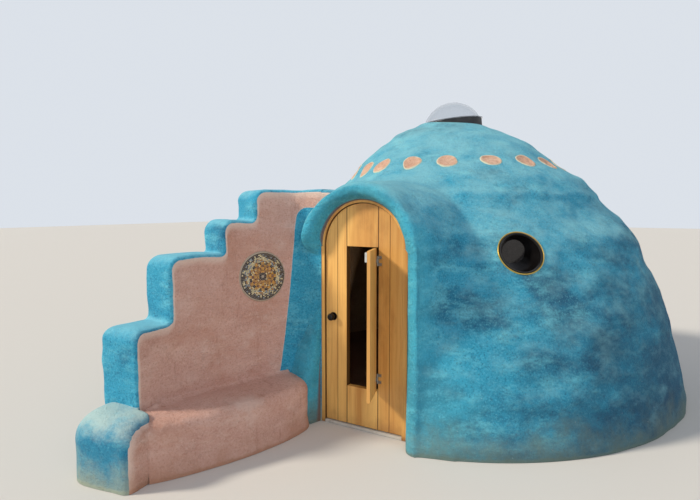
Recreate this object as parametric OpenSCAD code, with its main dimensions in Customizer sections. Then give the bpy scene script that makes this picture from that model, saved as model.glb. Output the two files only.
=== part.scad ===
// Small domed adobe house with an arched plank door, a stepped wing wall
// with a bench, a porthole and a bubble skylight.
// Millimetres. Origin on the ground at the middle of the dome, door towards -Y, +Z up.
// Angles round the dome are counted from the door (-Y) towards +X.

/* [Dome] */
// Outer radius of the dome wall at the ground
dome_r = 2220; // [2100:10:2400]
// Height at which the outer curve of the wall would close
dome_h = 2620; // [2560:10:2800]
// Exponent of the wall's curves, 2 would be an ellipse
dome_bow = 1.6; // [1.5:0.05:1.8]
// Height over the shoulder at which the cap's curve would close
cap_h = 680; // [660:5:720]
// Exponent of the cap's curve, 1 would be a straight cone
cap_bow = 1.8; // [1.6:0.05:2]
// Wall thickness at the ground
wall_t = 420; // [350:10:480]
// Height from the room's curve to the wall's where both would close
crown_t = 340; // [280:10:380]
// Height of the shoulder, where the wall ends and the cap starts
shoulder_z = 1950; // [1920:10:1990]
// Angle of the bay that holds the doorway
door_bay = 54; // [50:1:58]
// Width of the seams between the courses and bays
seam = 0.3; // [0.2:0.1:0.5]

/* [Floor] */
// Thickness of the earthen floor
floor_t = 20; // [10:1:22]

/* [Door] */
// Clear width between the door posts
door_w = 684; // [640:2:720]
// Height of the springing line of the door's arch
door_spring = 1442; // [1400:1:1460]
// How far the door's face stands back from the foot of the dome
door_set = 262; // [240:1:290]
// Thickness of the door boards
board_t = 45; // [38:1:50]
// Running gap round the door leaf and round the shutter
leaf_gap = 5; // [5:0.5:8]
// Height of the leaf's lower edge
leaf_z = 30; // [28:1:36]
// Shadow gap between two boards
board_gap = 2; // [1:0.5:3]
// Width of the outer board on each side
outer_board_w = 107; // [95:1:115]
// Width of the second board on the latch side
left_board_w = 86; // [76:1:96]
// Width of the second board on the hinge side
right_board_w = 97; // [88:1:106]
// Thickness of the ledges behind the boards
ledge_t = 22; // [18:1:28]
// Height of each ledge
ledge_h = 100; // [80:5:110]
// Height of the lower ledge's lower edge
low_ledge_z = 150; // [120:5:200]
// Distance from the leaf's edge to the ledges' ends
ledge_inset = 37; // [34:1:60]
// Distance from the shutter's opening up to the upper ledge
ledge_over = 28; // [20:1:40]

/* [Shutter] */
// Height of the lower edge of the shutter's opening
hatch_z = 335; // [310:1:360]
// Height of the shutter's opening
hatch_h = 1112; // [1060:1:1125]
// Thickness of the shutter
hatch_t = 25; // [20:1:30]
// How far the shutter stands open from its closed place, in degrees
hatch_open = 108; // [95:1:115]
// Width of the latch's block
latch_w = 34; // [28:1:40]
// Height of the latch's block
latch_h = 70; // [50:5:90]
// Thickness of the latch's block
latch_t = 16; // [10:1:20]
// Distance from the shutter's top down to the latch
latch_drop = 12; // [6:1:40]

/* [Door frame] */
// Width of each door post
post_w = 40; // [36:1:50]
// Width of the arched head of the frame
head_w = 25; // [20:1:32]
// How far the frame stands in front of the boards
frame_lip = 17; // [10:1:25]
// Height of the threshold
sill_t = 22; // [15:1:24]

/* [Knob and hinges] */
// Height of the knob
knob_z = 880; // [800:5:950]
// Distance from the leaf's edge to the knob
knob_backset = 68; // [60:1:76]
// Diameter of the knob
knob_d = 58; // [50:1:64]
// Distance from the board to the knob's outer end
knob_reach = 62; // [56:1:70]
// Height of a door hinge
hinge_h = 96; // [80:2:110]
// Radius of a hinge's knuckle
knuckle_r = 6; // [5:0.5:6.5]
// Height of the middle of the lower door hinge
low_hinge_z = 390; // [330:5:420]
// Height of the middle of the upper door hinge
high_hinge_z = 1367; // [1300:1:1380]
// Height of a shutter hinge
hatch_hinge_h = 76; // [60:2:90]
// Distance from the shutter's end to the middle of its hinge
hatch_hinge_in = 102; // [80:2:130]

/* [Entry] */
// Height at which the passage's low arch starts
passage_z = 1789; // [1785:1:1800]
// Rise of the passage's low arch
passage_rise = 42; // [30:1:50]
// Radius of the entry vault's outside
vault_r = 760; // [740:5:790]
// Distance up the leaning front to the axis of the entry vault
vault_z = 1262; // [1245:1:1280]
// Radius of the vault's front arris
vault_round = 180; // [150:5:200]
// Outer radius of the hood's ring round the door's arch
hood_r = 500; // [480:5:520]
// Radius of the rolled lip round the hood
lip_r = 42; // [36:1:50]
// How far the lip stands out from the hood's ring
lip_out = 10; // [6:1:16]
// Depth of the lip's middle behind the entry's front
lip_in = 10; // [4:1:16]
// How far the entry's front stands out from the dome's foot
entry_out = 25; // [15:1:40]
// Lean of the entry's front, in degrees
pier_lean = 5.3; // [4:0.1:6]
// Distance from the door's middle to the right pier's front corner
pier_corner = 491; // [470:1:520]
// Radius of the right pier's front corner
pier_round = 70; // [40:5:80]

/* [Wing wall] */
// Place of the middle of the wall's curve along X
wing_x = 1250; // [1240:1:1260]
// Distance from the dome's foot out to the middle of the wall's curve
wing_out = 960; // [950:1:970]
// Radius of the wall's front face
wing_r = 2220; // [2210:1:2230]
// Thickness of the wall
wing_t = 350; // [320:5:380]
// Angles at which the steps end, from the entry to the low end
wing_angles = [33, 23.5, 16.5, 5.2, -2.3, -9.5];
// Heights of the steps, from the entry to the low end
wing_heights = [1885, 1650, 1400, 945, 430];
// Radius of the arris over each step's end
wing_end_round = 90; // [60:5:100]
// Radius of the wall's back arris
wing_back_round = 75; // [50:5:90]
// Radius of the wall's front arris
wing_front_round = 32; // [20:1:50]
// Depth of the pillar at the low end, in front of the wall's face
pillar_d = 190; // [170:5:210]

/* [Bench] */
// Height of the seat
bench_h = 385; // [360:5:410]
// Depth of the seat at its middle
bench_d = 435; // [420:5:450]
// Angle of the seat's middle round the wing wall
bench_a = 16; // [15:0.5:17]
// Radius of the seat's front, which swells out against the wall's hollow curve
bench_r = 2210; // [2150:10:2300]
// Radius of the seat's front edge
bench_round = 80; // [50:5:90]
// Radius of the arris over the seat's end
bench_end_round = 60; // [40:5:80]

/* [Medallion] */
// Diameter of the mosaic medallion
medal_d = 385; // [340:5:400]
// Width of the medallion's rim
medal_rim = 36; // [28:1:44]
// Height of the medallion's middle
medal_z = 1200; // [1150:5:1260]
// Angle of the medallion's middle round the wing wall
medal_a = 25; // [24:0.5:26]
// Thickness of the medallion
medal_t = 28; // [24:1:34]
// How far the medallion's face stands out from the wall at its middle
medal_proud = 14; // [10:1:18]

/* [Porthole] */
// Angle of the porthole from the door
port_a = 36.7; // [36:0.1:40]
// Height of the porthole's middle on the wall's face
port_z = 1405; // [1350:5:1450]
// Inner diameter of the porthole's tube
port_d = 316; // [290:2:330]
// Wall thickness of the tube
port_tube_t = 8; // [5:1:12]
// Width of the rim round the tube
port_rim_w = 14; // [10:1:20]
// Thickness of the rim
port_rim_t = 26; // [22:1:32]
// How far the rim stands out from the wall
port_rim_out = 10; // [8:1:14]
// Length of the tube behind the wall's face
port_len = 430; // [400:5:460]
// Diameter of the upright end of the glass bowl
bowl_d = 196; // [180:2:200]
// Level distance from the wall's face to the bowl's end
bowl_reach = 140; // [120:5:150]
// Thickness of the bowl's glass
bowl_t = 6; // [4:0.5:8]

/* [Roof discs] */
// Number of plaster discs round the cap
disc_n = 20; // [16:1:22]
// Diameter of a disc
disc_d = 205; // [170:5:220]
// Height of the discs' middles
disc_z = 2180; // [2160:5:2210]
// Depth of a disc's seat in the cap
disc_seat = 22; // [16:1:30]
// How far a disc stands out from the cap
disc_out = 8; // [5:1:14]

/* [Skylight] */
// Slope at which the skylight was set
sky_tilt = 6; // [0:0.5:8]
// Angle of its high side from the door
sky_a = 120.7; // [110:0.1:130]
// Radius of the opening in the crown
crown_hole_r = 250; // [220:5:270]
// Radius of the flat top of the crown
crown_flat_r = 330; // [322:2:350]
// Outer radius of the skylight's curb
curb_r = 306; // [295:1:315]
// Height of the curb
curb_h = 76; // [60:2:90]
// Radius of the bubble at its flange
bubble_r = 292; // [280:1:300]
// Height of the bubble
bubble_h = 196; // [160:2:220]
// Thickness of the bubble and its flange
bubble_t = 5; // [4:0.5:8]
// Outer radius of the clear flange
flange_r = 318; // [310:1:330]

/* [Hidden] */

// Fineness of the round pieces, of the largest circles, of small tubes and of the worked-out curves
$fn = 240;
large_n = 480;
small_n = 48;
curve_n = 14;
fine_n = 6;

// A length that reaches past every piece, and how far a cut runs past the face it goes through
far = 4000;
past = 1;

room_r = dome_r - wall_t;
room_h = dome_h - crown_t;

// The door's planes and edges
half_door = door_w / 2;
leaf_y = -dome_r + door_set;
back_y = leaf_y + board_t;
frame_y = leaf_y - frame_lip;
half_frame = half_door + post_w;
leaf_r = half_door - leaf_gap;
board_edges = [-leaf_r, -leaf_r + outer_board_w, -leaf_r + outer_board_w + left_board_w,
    leaf_r - outer_board_w - right_board_w, leaf_r - outer_board_w, leaf_r];
hatch_top = hatch_z + hatch_h;

// Hinge axes: the door's behind the leaf, the shutter's in front of it. Each outer knuckle
// takes the same share of its hinge's height.
hinge_clear = 0.5;
hinge_x = half_door - leaf_gap / 2;
hinge_y = back_y + knuckle_r + hinge_clear;
hatch_x = board_edges[3] - leaf_gap / 2;
hatch_y = leaf_y - knuckle_r - hinge_clear;
plate_t = 2.5;
plate_w = 32;
knuckle_gap = 0.3;
end_share = 0.3;

// Entry
hood_hole_r = half_door + head_w;
pier_front = dome_r + entry_out;
splay = (pier_corner - half_frame) / (pier_front + frame_y);
entry_back = -room_r * 0.6;

wing_y = -dome_r - wing_out;

// Porthole axis: the slope of the wall's face at the porthole's height
function curve_r(z, r, h) = r * sqrt(1 - pow(z / h, dome_bow));
port_r = curve_r(port_z, dome_r, dome_h);
port_slope = dome_r * dome_r * dome_bow * pow(port_z / dome_h, dome_bow - 1)
    / (2 * dome_h * port_r);
port_tilt = atan(port_slope);

// Radii of the dome and of the room at the shoulder, and the room's part of the cap
shoulder_r = curve_r(shoulder_z, dome_r, dome_h);
room_shoulder_r = curve_r(shoulder_z, room_r, room_h);
room_cap_h = cap_h * room_shoulder_r / shoulder_r;

// Roof discs: the slope of the cap at their height
disc_r = shoulder_r * pow(1 - (disc_z - shoulder_z) / cap_h, 1 / cap_bow);
disc_tilt = 90 - atan(cap_h * cap_bow / shoulder_r * pow(disc_r / shoulder_r, cap_bow - 1));

// Height of the crown's flat top
crown_z = shoulder_z + cap_h * (1 - pow(crown_flat_r / shoulder_r, cap_bow));

// Half a seam, as an angle round the dome and round the wing wall
seam_a = seam / 2 / room_r * 180 / PI;
wing_seam_a = seam / 2 / wing_r * 180 / PI;

// The pocket of a round piece ends this far outside the wall
pocket_out = 60;
// A rounded corner's arc crosses its faces by this much, so that no face is merely touched
corner_slack = 0.1;

adobe = [0.25, 0.62, 0.74];
adobe_in = [0.80, 0.74, 0.64];
pink = [0.72, 0.56, 0.50];
pine = [0.82, 0.60, 0.30];

// Points of the curve r*cos(a), h*sin(a)^(2/bow) between two heights
function curve_a(z, h) = asin(pow(z / h, dome_bow / 2));
function curve_points(r, h, z0, z1, n) = [for (i = [0 : n])
    let (a = curve_a(z0, h) + (curve_a(z1, h) - curve_a(z0, h)) * i / n)
    [r * cos(a), h * pow(sin(a), 2 / dome_bow)]];
// Points of the curve z = h * (1 - (x/r)^bow) over the shoulder, from radius r in to r1
function cap_points(r, h, r1) = [for (i = [0 : curve_n])
    let (x = r + (r1 - r) * i / curve_n) [x, shoulder_z + h * (1 - pow(x / r, cap_bow))]];
// The dome's outer curve, moved out by a distance
function outer_curve(out) = concat(
    curve_points(dome_r + out, dome_h + out, 0, shoulder_z, curve_n),
    cap_points(curve_r(shoulder_z, dome_r + out, dome_h + out), cap_h + out, crown_flat_r));
function backwards(list) = [for (i = [len(list) - 1 : -1 : 0]) list[i]];

// An outline of [x, y, radius] corners, each turned into an arc
function arc_points(a, b, c, r, n) =
    let (u = (a - b) / norm(a - b), v = (c - b) / norm(c - b), corner = acos(u * v),
        middle = b + (u + v) / norm(u + v) * r / sin(corner / 2),
        s = (b + u * r / tan(corner / 2) - middle) / r,
        e = (b + v * r / tan(corner / 2) - middle) / r, turn = 180 - corner)
    [for (i = [0 : n]) middle + r * (sin(turn * (1 - i / n)) * s + sin(turn * i / n) * e) / sin(turn)];
function rounded(corners, n) = [for (i = [0 : len(corners) - 1])
    let (m = len(corners), a = corners[(i + m - 1) % m], b = corners[i], c = corners[(i + 1) % m])
    each (b[2] == 0 ? [[b[0], b[1]]] :
        arc_points([a[0], a[1]], [b[0], b[1]], [c[0], c[1]], b[2], n))];

// A place on the wing wall, from its angle and its distance from the curve's middle
function wing_at(angle, r) = [wing_x - r * cos(angle), wing_y + r * sin(angle)];

// Turns a revolved piece so that it starts at an angle counted from the door
module from_door(angle) {
    rotate([0, 0, angle - 90]) children();
}

// Stands a flat outline up across Y, from y0 to y1
module across(y0, y1) {
    translate([0, y1, 0]) rotate([90, 0, 0]) linear_extrude(y1 - y0) children();
}

// The outer form of the dome and a seam round it, solid
module dome_form() {
    rotate_extrude($fn = large_n)
        polygon(concat([[0, 0]], outer_curve(seam), [[0, crown_z + seam]]));
}

// A bay of the wall between two angles, from the ground to the shoulder
module wall_shell(a0, a1) {
    top_z = shoulder_z - seam;
    from_door(a0 + seam_a) rotate_extrude(angle = a1 - a0 - 2 * seam_a)
        polygon(concat(curve_points(dome_r, dome_h, 0, top_z, curve_n),
            backwards(curve_points(room_r, room_h, 0, top_z, curve_n))));
}

// The space of the passage: straight sides and a low arch
module passage(y0, y1) {
    arch_r = (half_frame * half_frame + passage_rise * passage_rise) / (2 * passage_rise);
    across(y0, y1) {
        translate([-half_frame, -far]) square([2 * half_frame, far + passage_z]);
        intersection() {
            translate([0, passage_z + passage_rise - arch_r]) circle(arch_r);
            translate([-half_frame, passage_z - past])
                square([2 * half_frame, passage_rise + 2 * past]);
        }
    }
}

// Places a piece on the porthole's axis, which runs out of the wall along +Z
module at_porthole() {
    rotate([0, 0, port_a]) translate([0, -port_r, port_z])
        rotate([90 - port_tilt, 0, 0]) children();
}

// Places a piece on the middle of the roof disc at an angle from the door
module at_disc(angle) {
    rotate([0, 0, angle]) translate([0, -disc_r, disc_z])
        rotate([90 - disc_tilt, 0, 0]) children();
}

module roof_disc_seats() {
    for (i = [0 : disc_n - 1]) at_disc(i * 360 / disc_n)
        translate([0, 0, -disc_seat]) cylinder(d = disc_d, h = disc_seat + pocket_out);
}

// Walls of the room

// The floor's edge follows the foot of the room's curve, a seam away from it
module earthen_floor() {
    foot = curve_points(room_r, room_h, 0, shoulder_z - seam, curve_n)[1];
    lean = (room_r - foot[0]) / foot[1];
    color(adobe_in) union() {
        rotate_extrude($fn = large_n) polygon([[0, 0], [room_r - seam, 0],
            [room_r - seam - lean * floor_t, floor_t], [0, floor_t]]);
        translate([-half_frame + seam, back_y + seam, 0])
            cube([2 * (half_frame - seam), room_r / 2, floor_t]);
    }
}

module door_side_wall(side) {
    color(adobe) intersection() {
        wall_shell(-door_bay / 2, door_bay / 2);
        translate([side > 0 ? half_frame : -half_frame - far, -far, 0]) cube([far, far, passage_z]);
    }
}

module wall_over_door() {
    color(adobe) difference() {
        wall_shell(-door_bay / 2, door_bay / 2);
        translate([-far, -far, passage_z + seam - far]) cube([2 * far, 2 * far, far]);
        passage(-far, 0);
    }
}

// One of the six equal bays between the doorway's sides
module wall_bay(i) {
    width = (360 - door_bay) / 6;
    color(adobe) wall_shell(door_bay / 2 + i * width, door_bay / 2 + (i + 1) * width);
}

module wall_porthole() {
    color(adobe) difference() {
        wall_bay(0);
        at_porthole() {
            translate([0, 0, -port_len - pocket_out])
                cylinder(d = port_d + 2 * port_tube_t, h = port_len + 2 * pocket_out);
            translate([0, 0, port_rim_out - port_rim_t])
                cylinder(d = port_d + 2 * port_tube_t + 2 * port_rim_w, h = port_rim_t + pocket_out);
        }
    }
}

// Quarters of the cap, which leave the crown's opening free

module cap_quarter(i) {
    color(adobe) difference() {
        from_door(-45 + 90 * i + seam_a) rotate_extrude(angle = 90 - 2 * seam_a)
            polygon(concat(cap_points(shoulder_r, cap_h, crown_flat_r), [[crown_hole_r, crown_z]],
                backwards(cap_points(room_shoulder_r, room_cap_h, crown_hole_r))));
        roof_disc_seats();
    }
}

module roof_discs() {
    dish_d = 0.7 * disc_d;
    dish_depth = 4;
    color([0.80, 0.62, 0.50]) for (i = [0 : disc_n - 1]) at_disc(i * 360 / disc_n)
        difference() {
            translate([0, 0, -disc_seat]) cylinder(d = disc_d, h = disc_seat + disc_out);
            translate([0, 0, disc_out - dish_depth]) cylinder(d = dish_d, h = pocket_out);
        }
}

// Skylight

// On the skylight's own plane, which slopes through the middle of the crown's flat top
module at_skylight() {
    translate([0, 0, crown_z]) rotate([0, 0, sky_a - 90]) rotate([0, -sky_tilt, 0]) children();
}

// The curb is cut level at its foot, so it is low on one side and high on the other
module skylight_curb() {
    dip = curb_r * tan(sky_tilt) + past;
    color([0.10, 0.10, 0.11]) difference() {
        at_skylight() translate([0, 0, -dip]) difference() {
            cylinder(r = curb_r, h = dip + curb_h);
            translate([0, 0, -past]) cylinder(r = crown_hole_r, h = dip + curb_h + 2 * past);
        }
        translate([-2 * curb_r, -2 * curb_r, crown_z + seam - 2 * dip])
            cube([4 * curb_r, 4 * curb_r, 2 * dip]);
    }
}

module skylight_flange() {
    color([0.85, 0.88, 0.90, 0.5]) at_skylight() translate([0, 0, curb_h]) difference() {
        cylinder(r = flange_r, h = bubble_t);
        translate([0, 0, -past]) cylinder(r = bubble_r - bubble_t, h = bubble_t + 2 * past);
    }
}

module skylight_bubble() {
    ball_r = (bubble_r * bubble_r + bubble_h * bubble_h) / (2 * bubble_h);
    color([0.85, 0.90, 0.93, 0.4]) at_skylight() translate([0, 0, curb_h + bubble_t]) intersection() {
        translate([0, 0, bubble_h - ball_r]) difference() {
            sphere(ball_r);
            sphere(ball_r - bubble_t);
        }
        translate([-bubble_r, -bubble_r, 0]) cube([2 * bubble_r, 2 * bubble_r, bubble_h]);
    }
}

// Porthole

module porthole_tube() {
    color([0.30, 0.31, 0.32]) at_porthole() translate([0, 0, -port_len]) difference() {
        cylinder(d = port_d + 2 * port_tube_t, h = port_len + port_rim_out);
        translate([0, 0, -past]) cylinder(d = port_d, h = port_len + port_rim_out + 2 * past);
    }
}

module porthole_rim() {
    tube_d = port_d + 2 * port_tube_t;
    color([0.72, 0.58, 0.34]) at_porthole() translate([0, 0, port_rim_out - port_rim_t])
        difference() {
            cylinder(d = tube_d + 2 * port_rim_w, h = port_rim_t);
            translate([0, 0, -past]) cylinder(d = tube_d, h = port_rim_t + 2 * past);
        }
}

// A deep bowl of glass: a round mouth along the wall's slope and an upright round end
module bowl_form(inset) {
    mouth_z = port_rim_out - port_rim_t;
    hull() {
        at_porthole() translate([0, 0, mouth_z]) cylinder(d = port_d - 2 * inset, h = bowl_t, $fn = small_n);
        rotate([0, 0, port_a]) translate([0, -port_r + bowl_reach - inset, port_z]) rotate([90, 0, 0])
            cylinder(d = bowl_d - 2 * inset, h = bowl_t, $fn = small_n);
    }
}

module porthole_glass() {
    color([0.55, 0.62, 0.66, 0.5]) difference() {
        bowl_form(seam);
        bowl_form(bowl_t);
    }
}

// Entry: two piers up to the springing line, and the hood over them

// Stands pieces on the leaning front plane of the entry: +Y runs in from it, +Z up along it
module at_front() {
    translate([0, -pier_front, 0]) rotate([-pier_lean, 0, 0]) children();
}

module behind_front() {
    at_front() translate([-far, 0, -far / 2]) cube([2 * far, far, 2 * far]);
}

// The mass of the entry: a vault with a round front arris, and its flank down to the ground
module entry_mass() {
    depth = pier_front + entry_back;
    at_front() {
        translate([0, 0, vault_z]) rotate([-90, 0, 0]) rotate_extrude(angle = -180)
            polygon(rounded([[0, 0, 0], [vault_r, 0, vault_round], [vault_r, depth, 0],
                [0, depth, 0]], fine_n));
        translate([0, 0, -pier_corner]) linear_extrude(vault_z + pier_corner)
            polygon(rounded([[0, 0, 0], [vault_r, 0, vault_round], [vault_r, depth, 0],
                [0, depth, 0]], fine_n));
    }
}

// Plan of the left pier: from the wing wall's end to the left door post
module left_plan() {
    intersection() {
        translate([wing_x, wing_y]) circle(wing_r + wing_t, $fn = large_n);
        polygon([wing_at(wing_angles[0], wing_r), [-half_frame, frame_y], [-half_frame, entry_back],
            [-half_frame - hood_r, entry_back], wing_at(wing_angles[0], wing_r + 2 * wing_t)]);
    }
}

// Plan of the right pier: the splayed reveal, a round corner and all that lies to the right
module right_plan() {
    polygon(rounded([[half_frame, entry_back, 0], [half_frame, frame_y, 0],
        [pier_corner, -pier_front, pier_round], [vault_r, -pier_front, 0],
        [vault_r, entry_back, 0]], fine_n));
}

module entry_pier_left() {
    color(adobe) difference() {
        linear_extrude(door_spring) left_plan();
        dome_form();
    }
}

module entry_pier_right() {
    color(adobe) difference() {
        intersection() {
            linear_extrude(door_spring) right_plan();
            entry_mass();
        }
        dome_form();
    }
}

// The hood's vault over the passage and its right flank
module hood_vault() {
    intersection() {
        entry_mass();
        translate([-half_frame, -far, door_spring]) cube([far, far, far]);
    }
}

module hood_ring() {
    intersection() {
        across(-far, back_y) translate([0, door_spring]) circle(hood_r);
        behind_front();
    }
}

// The rolled lip along the hood's front edge
module hood_lip() {
    at_front() translate([0, lip_in, door_spring / cos(pier_lean)]) rotate([90, 0, 0])
        rotate_extrude() translate([hood_r + lip_out - lip_r, 0]) circle(lip_r, $fn = small_n);
}

module entry_hood() {
    reach = pier_front + frame_y + vault_round;
    color(adobe) difference() {
        intersection() {
            union() {
                hood_vault();
                hood_ring();
                hood_lip();
                linear_extrude(wing_heights[0]) left_plan();
            }
            translate([-far, -far, door_spring]) cube([2 * far, 2 * far, far]);
        }
        translate([0, frame_y, door_spring]) rotate([90, 0, 0])
            cylinder(r1 = hood_hole_r, r2 = hood_hole_r + reach * splay, h = reach);
        across(frame_y - past, back_y) translate([0, door_spring]) circle(hood_hole_r);
        passage(back_y, 0);
        dome_form();
    }
}

// Door frame

module threshold() {
    color([0.78, 0.77, 0.74]) translate([-half_door, frame_y, 0])
        cube([door_w, back_y - frame_y, sill_t]);
}

module frame_post(side) {
    color(pine) translate([side > 0 ? half_door : -half_frame, frame_y, 0])
        cube([post_w, back_y - frame_y, door_spring]);
}

module frame_head() {
    color(pine) across(frame_y, back_y) intersection() {
        translate([0, door_spring]) difference() {
            circle(hood_hole_r);
            circle(half_door);
        }
        translate([-far, door_spring]) square([2 * far, far]);
    }
}

// Hinges of the door: the frame's plates carry the outer knuckles

module at_door_hinges() {
    for (z = [low_hinge_z, high_hinge_z]) translate([hinge_x, hinge_y, z]) children();
}

module frame_hinges() {
    end_h = hinge_h * end_share;
    color([0.25, 0.24, 0.23]) at_door_hinges() for (side = [-1, 1])
        translate([0, 0, side * (hinge_h - end_h) / 2 - end_h / 2]) {
            cylinder(r = knuckle_r, h = end_h);
            translate([0, back_y - hinge_y, 0]) cube([plate_w + knuckle_r, plate_t, end_h]);
        }
}

module door_hinges() {
    middle_h = hinge_h * (1 - 2 * end_share) - 2 * knuckle_gap;
    color([0.25, 0.24, 0.23]) at_door_hinges() translate([0, 0, -middle_h / 2]) {
        cylinder(r = knuckle_r, h = middle_h);
        translate([-plate_w - knuckle_r, back_y - hinge_y, 0]) cube([plate_w + knuckle_r, plate_t, middle_h]);
    }
}

// Door leaf

// The leaf's outline, with the shutter's opening left out
module leaf_outline() {
    difference() {
        union() {
            translate([-leaf_r, leaf_z]) square([2 * leaf_r, door_spring - leaf_z]);
            translate([0, door_spring]) circle(leaf_r);
        }
        translate([board_edges[2], hatch_z]) square([board_edges[3] - board_edges[2], hatch_h]);
    }
}

module door_boards() {
    color(pine) across(leaf_y, back_y) for (i = [0 : 4]) intersection() {
        leaf_outline();
        translate([board_edges[i] + (i == 0 ? 0 : board_gap / 2), 0])
            square([board_edges[i + 1] - board_edges[i] - (i == 0 || i == 4 ? 0.5 : 1) * board_gap, far]);
    }
}

module door_ledges() {
    color(pine) for (z = [low_ledge_z, hatch_top + ledge_over])
        translate([-leaf_r + ledge_inset, back_y, z])
            cube([2 * (leaf_r - ledge_inset), ledge_t, ledge_h]);
}

// A knob on each face, on its rosette: a ball with a flat front and a flat back
module door_knobs() {
    rosette_d = 66;
    rosette_t = 5;
    neck_d = 26;
    front_cut = 6;
    back_cut = 8;
    color([0.05, 0.05, 0.05]) for (face = [0, 1])
        translate([-leaf_r + knob_backset, face == 0 ? leaf_y : back_y, knob_z])
            rotate([face == 0 ? 90 : -90, 0, 0]) {
                cylinder(d = rosette_d, h = rosette_t);
                cylinder(d = neck_d, h = knob_reach - knob_d / 2);
                translate([0, 0, knob_reach - knob_d / 2 + front_cut]) intersection() {
                    sphere(d = knob_d);
                    translate([-knob_d, -knob_d, -knob_d / 2 + back_cut])
                        cube([2 * knob_d, 2 * knob_d, knob_d - back_cut - front_cut]);
                }
            }
}

// Shutter in the middle board, drawn closed and turned open about its hinge

module opened() {
    translate([hatch_x, hatch_y, 0]) rotate([0, 0, hatch_open])
        translate([-hatch_x, -hatch_y, 0]) children();
}

module hatch_shutter() {
    left = board_edges[2] + leaf_gap;
    right = board_edges[3] - leaf_gap;
    color(pine) opened() translate([left, leaf_y, hatch_z + leaf_gap])
        cube([right - left, hatch_t, hatch_h - 2 * leaf_gap]);
}

// Butt hinges on the front: the shutter's plates and middle knuckles
module hatch_hinges() {
    middle_h = hatch_hinge_h * (1 - 2 * end_share) - 2 * knuckle_gap;
    color([0.50, 0.51, 0.52]) opened()
        for (z = [hatch_z + hatch_hinge_in, hatch_top - hatch_hinge_in])
            translate([hatch_x, hatch_y, z - middle_h / 2]) {
                cylinder(r = knuckle_r, h = middle_h);
                translate([-plate_w, leaf_y - hatch_y - plate_t, 0])
                    cube([plate_w, plate_t, middle_h]);
            }
}

// The leaves on the boards, with the outer knuckles
module shutter_hinge_leaves() {
    end_h = hatch_hinge_h * end_share;
    color([0.50, 0.51, 0.52])
        for (z = [hatch_z + hatch_hinge_in, hatch_top - hatch_hinge_in], side = [-1, 1])
            translate([hatch_x, hatch_y, z + side * (hatch_hinge_h - end_h) / 2 - end_h / 2]) {
                cylinder(r = knuckle_r, h = end_h);
                translate([0, leaf_y - hatch_y - plate_t, 0]) cube([plate_w, plate_t, end_h]);
            }
}

module hatch_latch() {
    color([0.85, 0.85, 0.84]) opened()
        translate([board_edges[2] + leaf_gap, leaf_y + hatch_t, hatch_top - leaf_gap - latch_drop - latch_h])
            cube([latch_w, latch_t, latch_h]);
}

// Wing wall: one revolved column a step, and the pillar at its low end

module wing_column(a0, a1, r0, r1, h, front_round, back_round) {
    translate([wing_x, wing_y, 0]) rotate([0, 0, 180 - a0 + wing_seam_a])
        rotate_extrude(angle = a0 - a1 - 2 * wing_seam_a)
        polygon(rounded([[r0, 0, 0], [r1, 0, 0], [r1, h, back_round], [r0, h, front_round]], fine_n));
}

// At an angle of the wing wall: +X runs out from the curve's middle, +Y on towards the low end
module at_wing(angle) {
    translate([wing_x, wing_y, 0]) rotate([0, 0, 180 - angle]) children();
}

// What a rounded corner at the origin, with its solid towards -X and -Y, leaves off
module corner_cut(r) {
    difference() {
        translate([-r, -r]) square(2 * r);
        translate([-r, -r]) circle(r + corner_slack);
    }
}

// Takes the arris off over the end of a column, at its low end or (side = -1) at its high end
module end_cut(angle, h, r, side) {
    at_wing(angle) mirror([0, side < 0 ? 1 : 0, 0]) translate([wing_r - wing_r / 2, 0, h])
        rotate([90, 0, 90]) linear_extrude(wing_r) corner_cut(r);
}

// Takes the upright arrises off at the low end of a column between two radii, from z0 up.
// Each arc meets its curved face a radius away from the end.
module side_cut(angle, r0, r1, z0, front_round, back_round) {
    at_wing(angle) translate([0, 0, z0]) linear_extrude(far) {
        translate([sqrt(r1 * r1 - back_round * back_round), 0]) corner_cut(back_round);
        translate([sqrt(r0 * r0 - front_round * front_round), 0]) mirror([1, 0]) corner_cut(front_round);
    }
}

// Places a piece on the medallion's axis, which runs out of the wall's front along +Z
module at_medallion() {
    middle = wing_at(medal_a, wing_r);
    translate([middle[0], middle[1], medal_z]) rotate([0, 0, -medal_a]) rotate([0, 90, 0]) children();
}

module wing_step(i) {
    color(pink) difference() {
        wing_column(wing_angles[i], wing_angles[i + 1], wing_r, wing_r + wing_t,
            wing_heights[i], wing_front_round, wing_back_round);
        end_cut(wing_angles[i + 1], wing_heights[i], wing_end_round, 1);
        side_cut(wing_angles[i + 1], wing_r, wing_r + wing_t, wing_heights[i + 1],
            wing_front_round, wing_back_round);
        if (i < 2) at_medallion() translate([0, 0, medal_proud - medal_t])
            cylinder(d = medal_d, h = medal_t + pocket_out);
        if (i == 0) dome_form();
    }
}

module wing_end_pillar() {
    color(adobe) difference() {
        wing_column(wing_angles[4], wing_angles[5], wing_r - pillar_d, wing_r + wing_t,
            wing_heights[4], wing_back_round, wing_back_round);
        end_cut(wing_angles[5], wing_heights[4], wing_end_round, 1);
        side_cut(wing_angles[5], wing_r - pillar_d, wing_r + wing_t, -past,
            wing_back_round, wing_back_round);
    }
}

// The seat's mass, revolved round a point behind the wall, so that its front swells out
module seat_mass() {
    middle = wing_at(bench_a, wing_r - bench_d + bench_r);
    back_r = bench_r - 2 * bench_d;
    translate([middle[0], middle[1], 0]) rotate_extrude()
        polygon(rounded([[back_r, 0, 0], [bench_r, 0, 0], [bench_r, bench_h, bench_round],
            [back_r, bench_h, 0]], fine_n));
}

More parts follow.
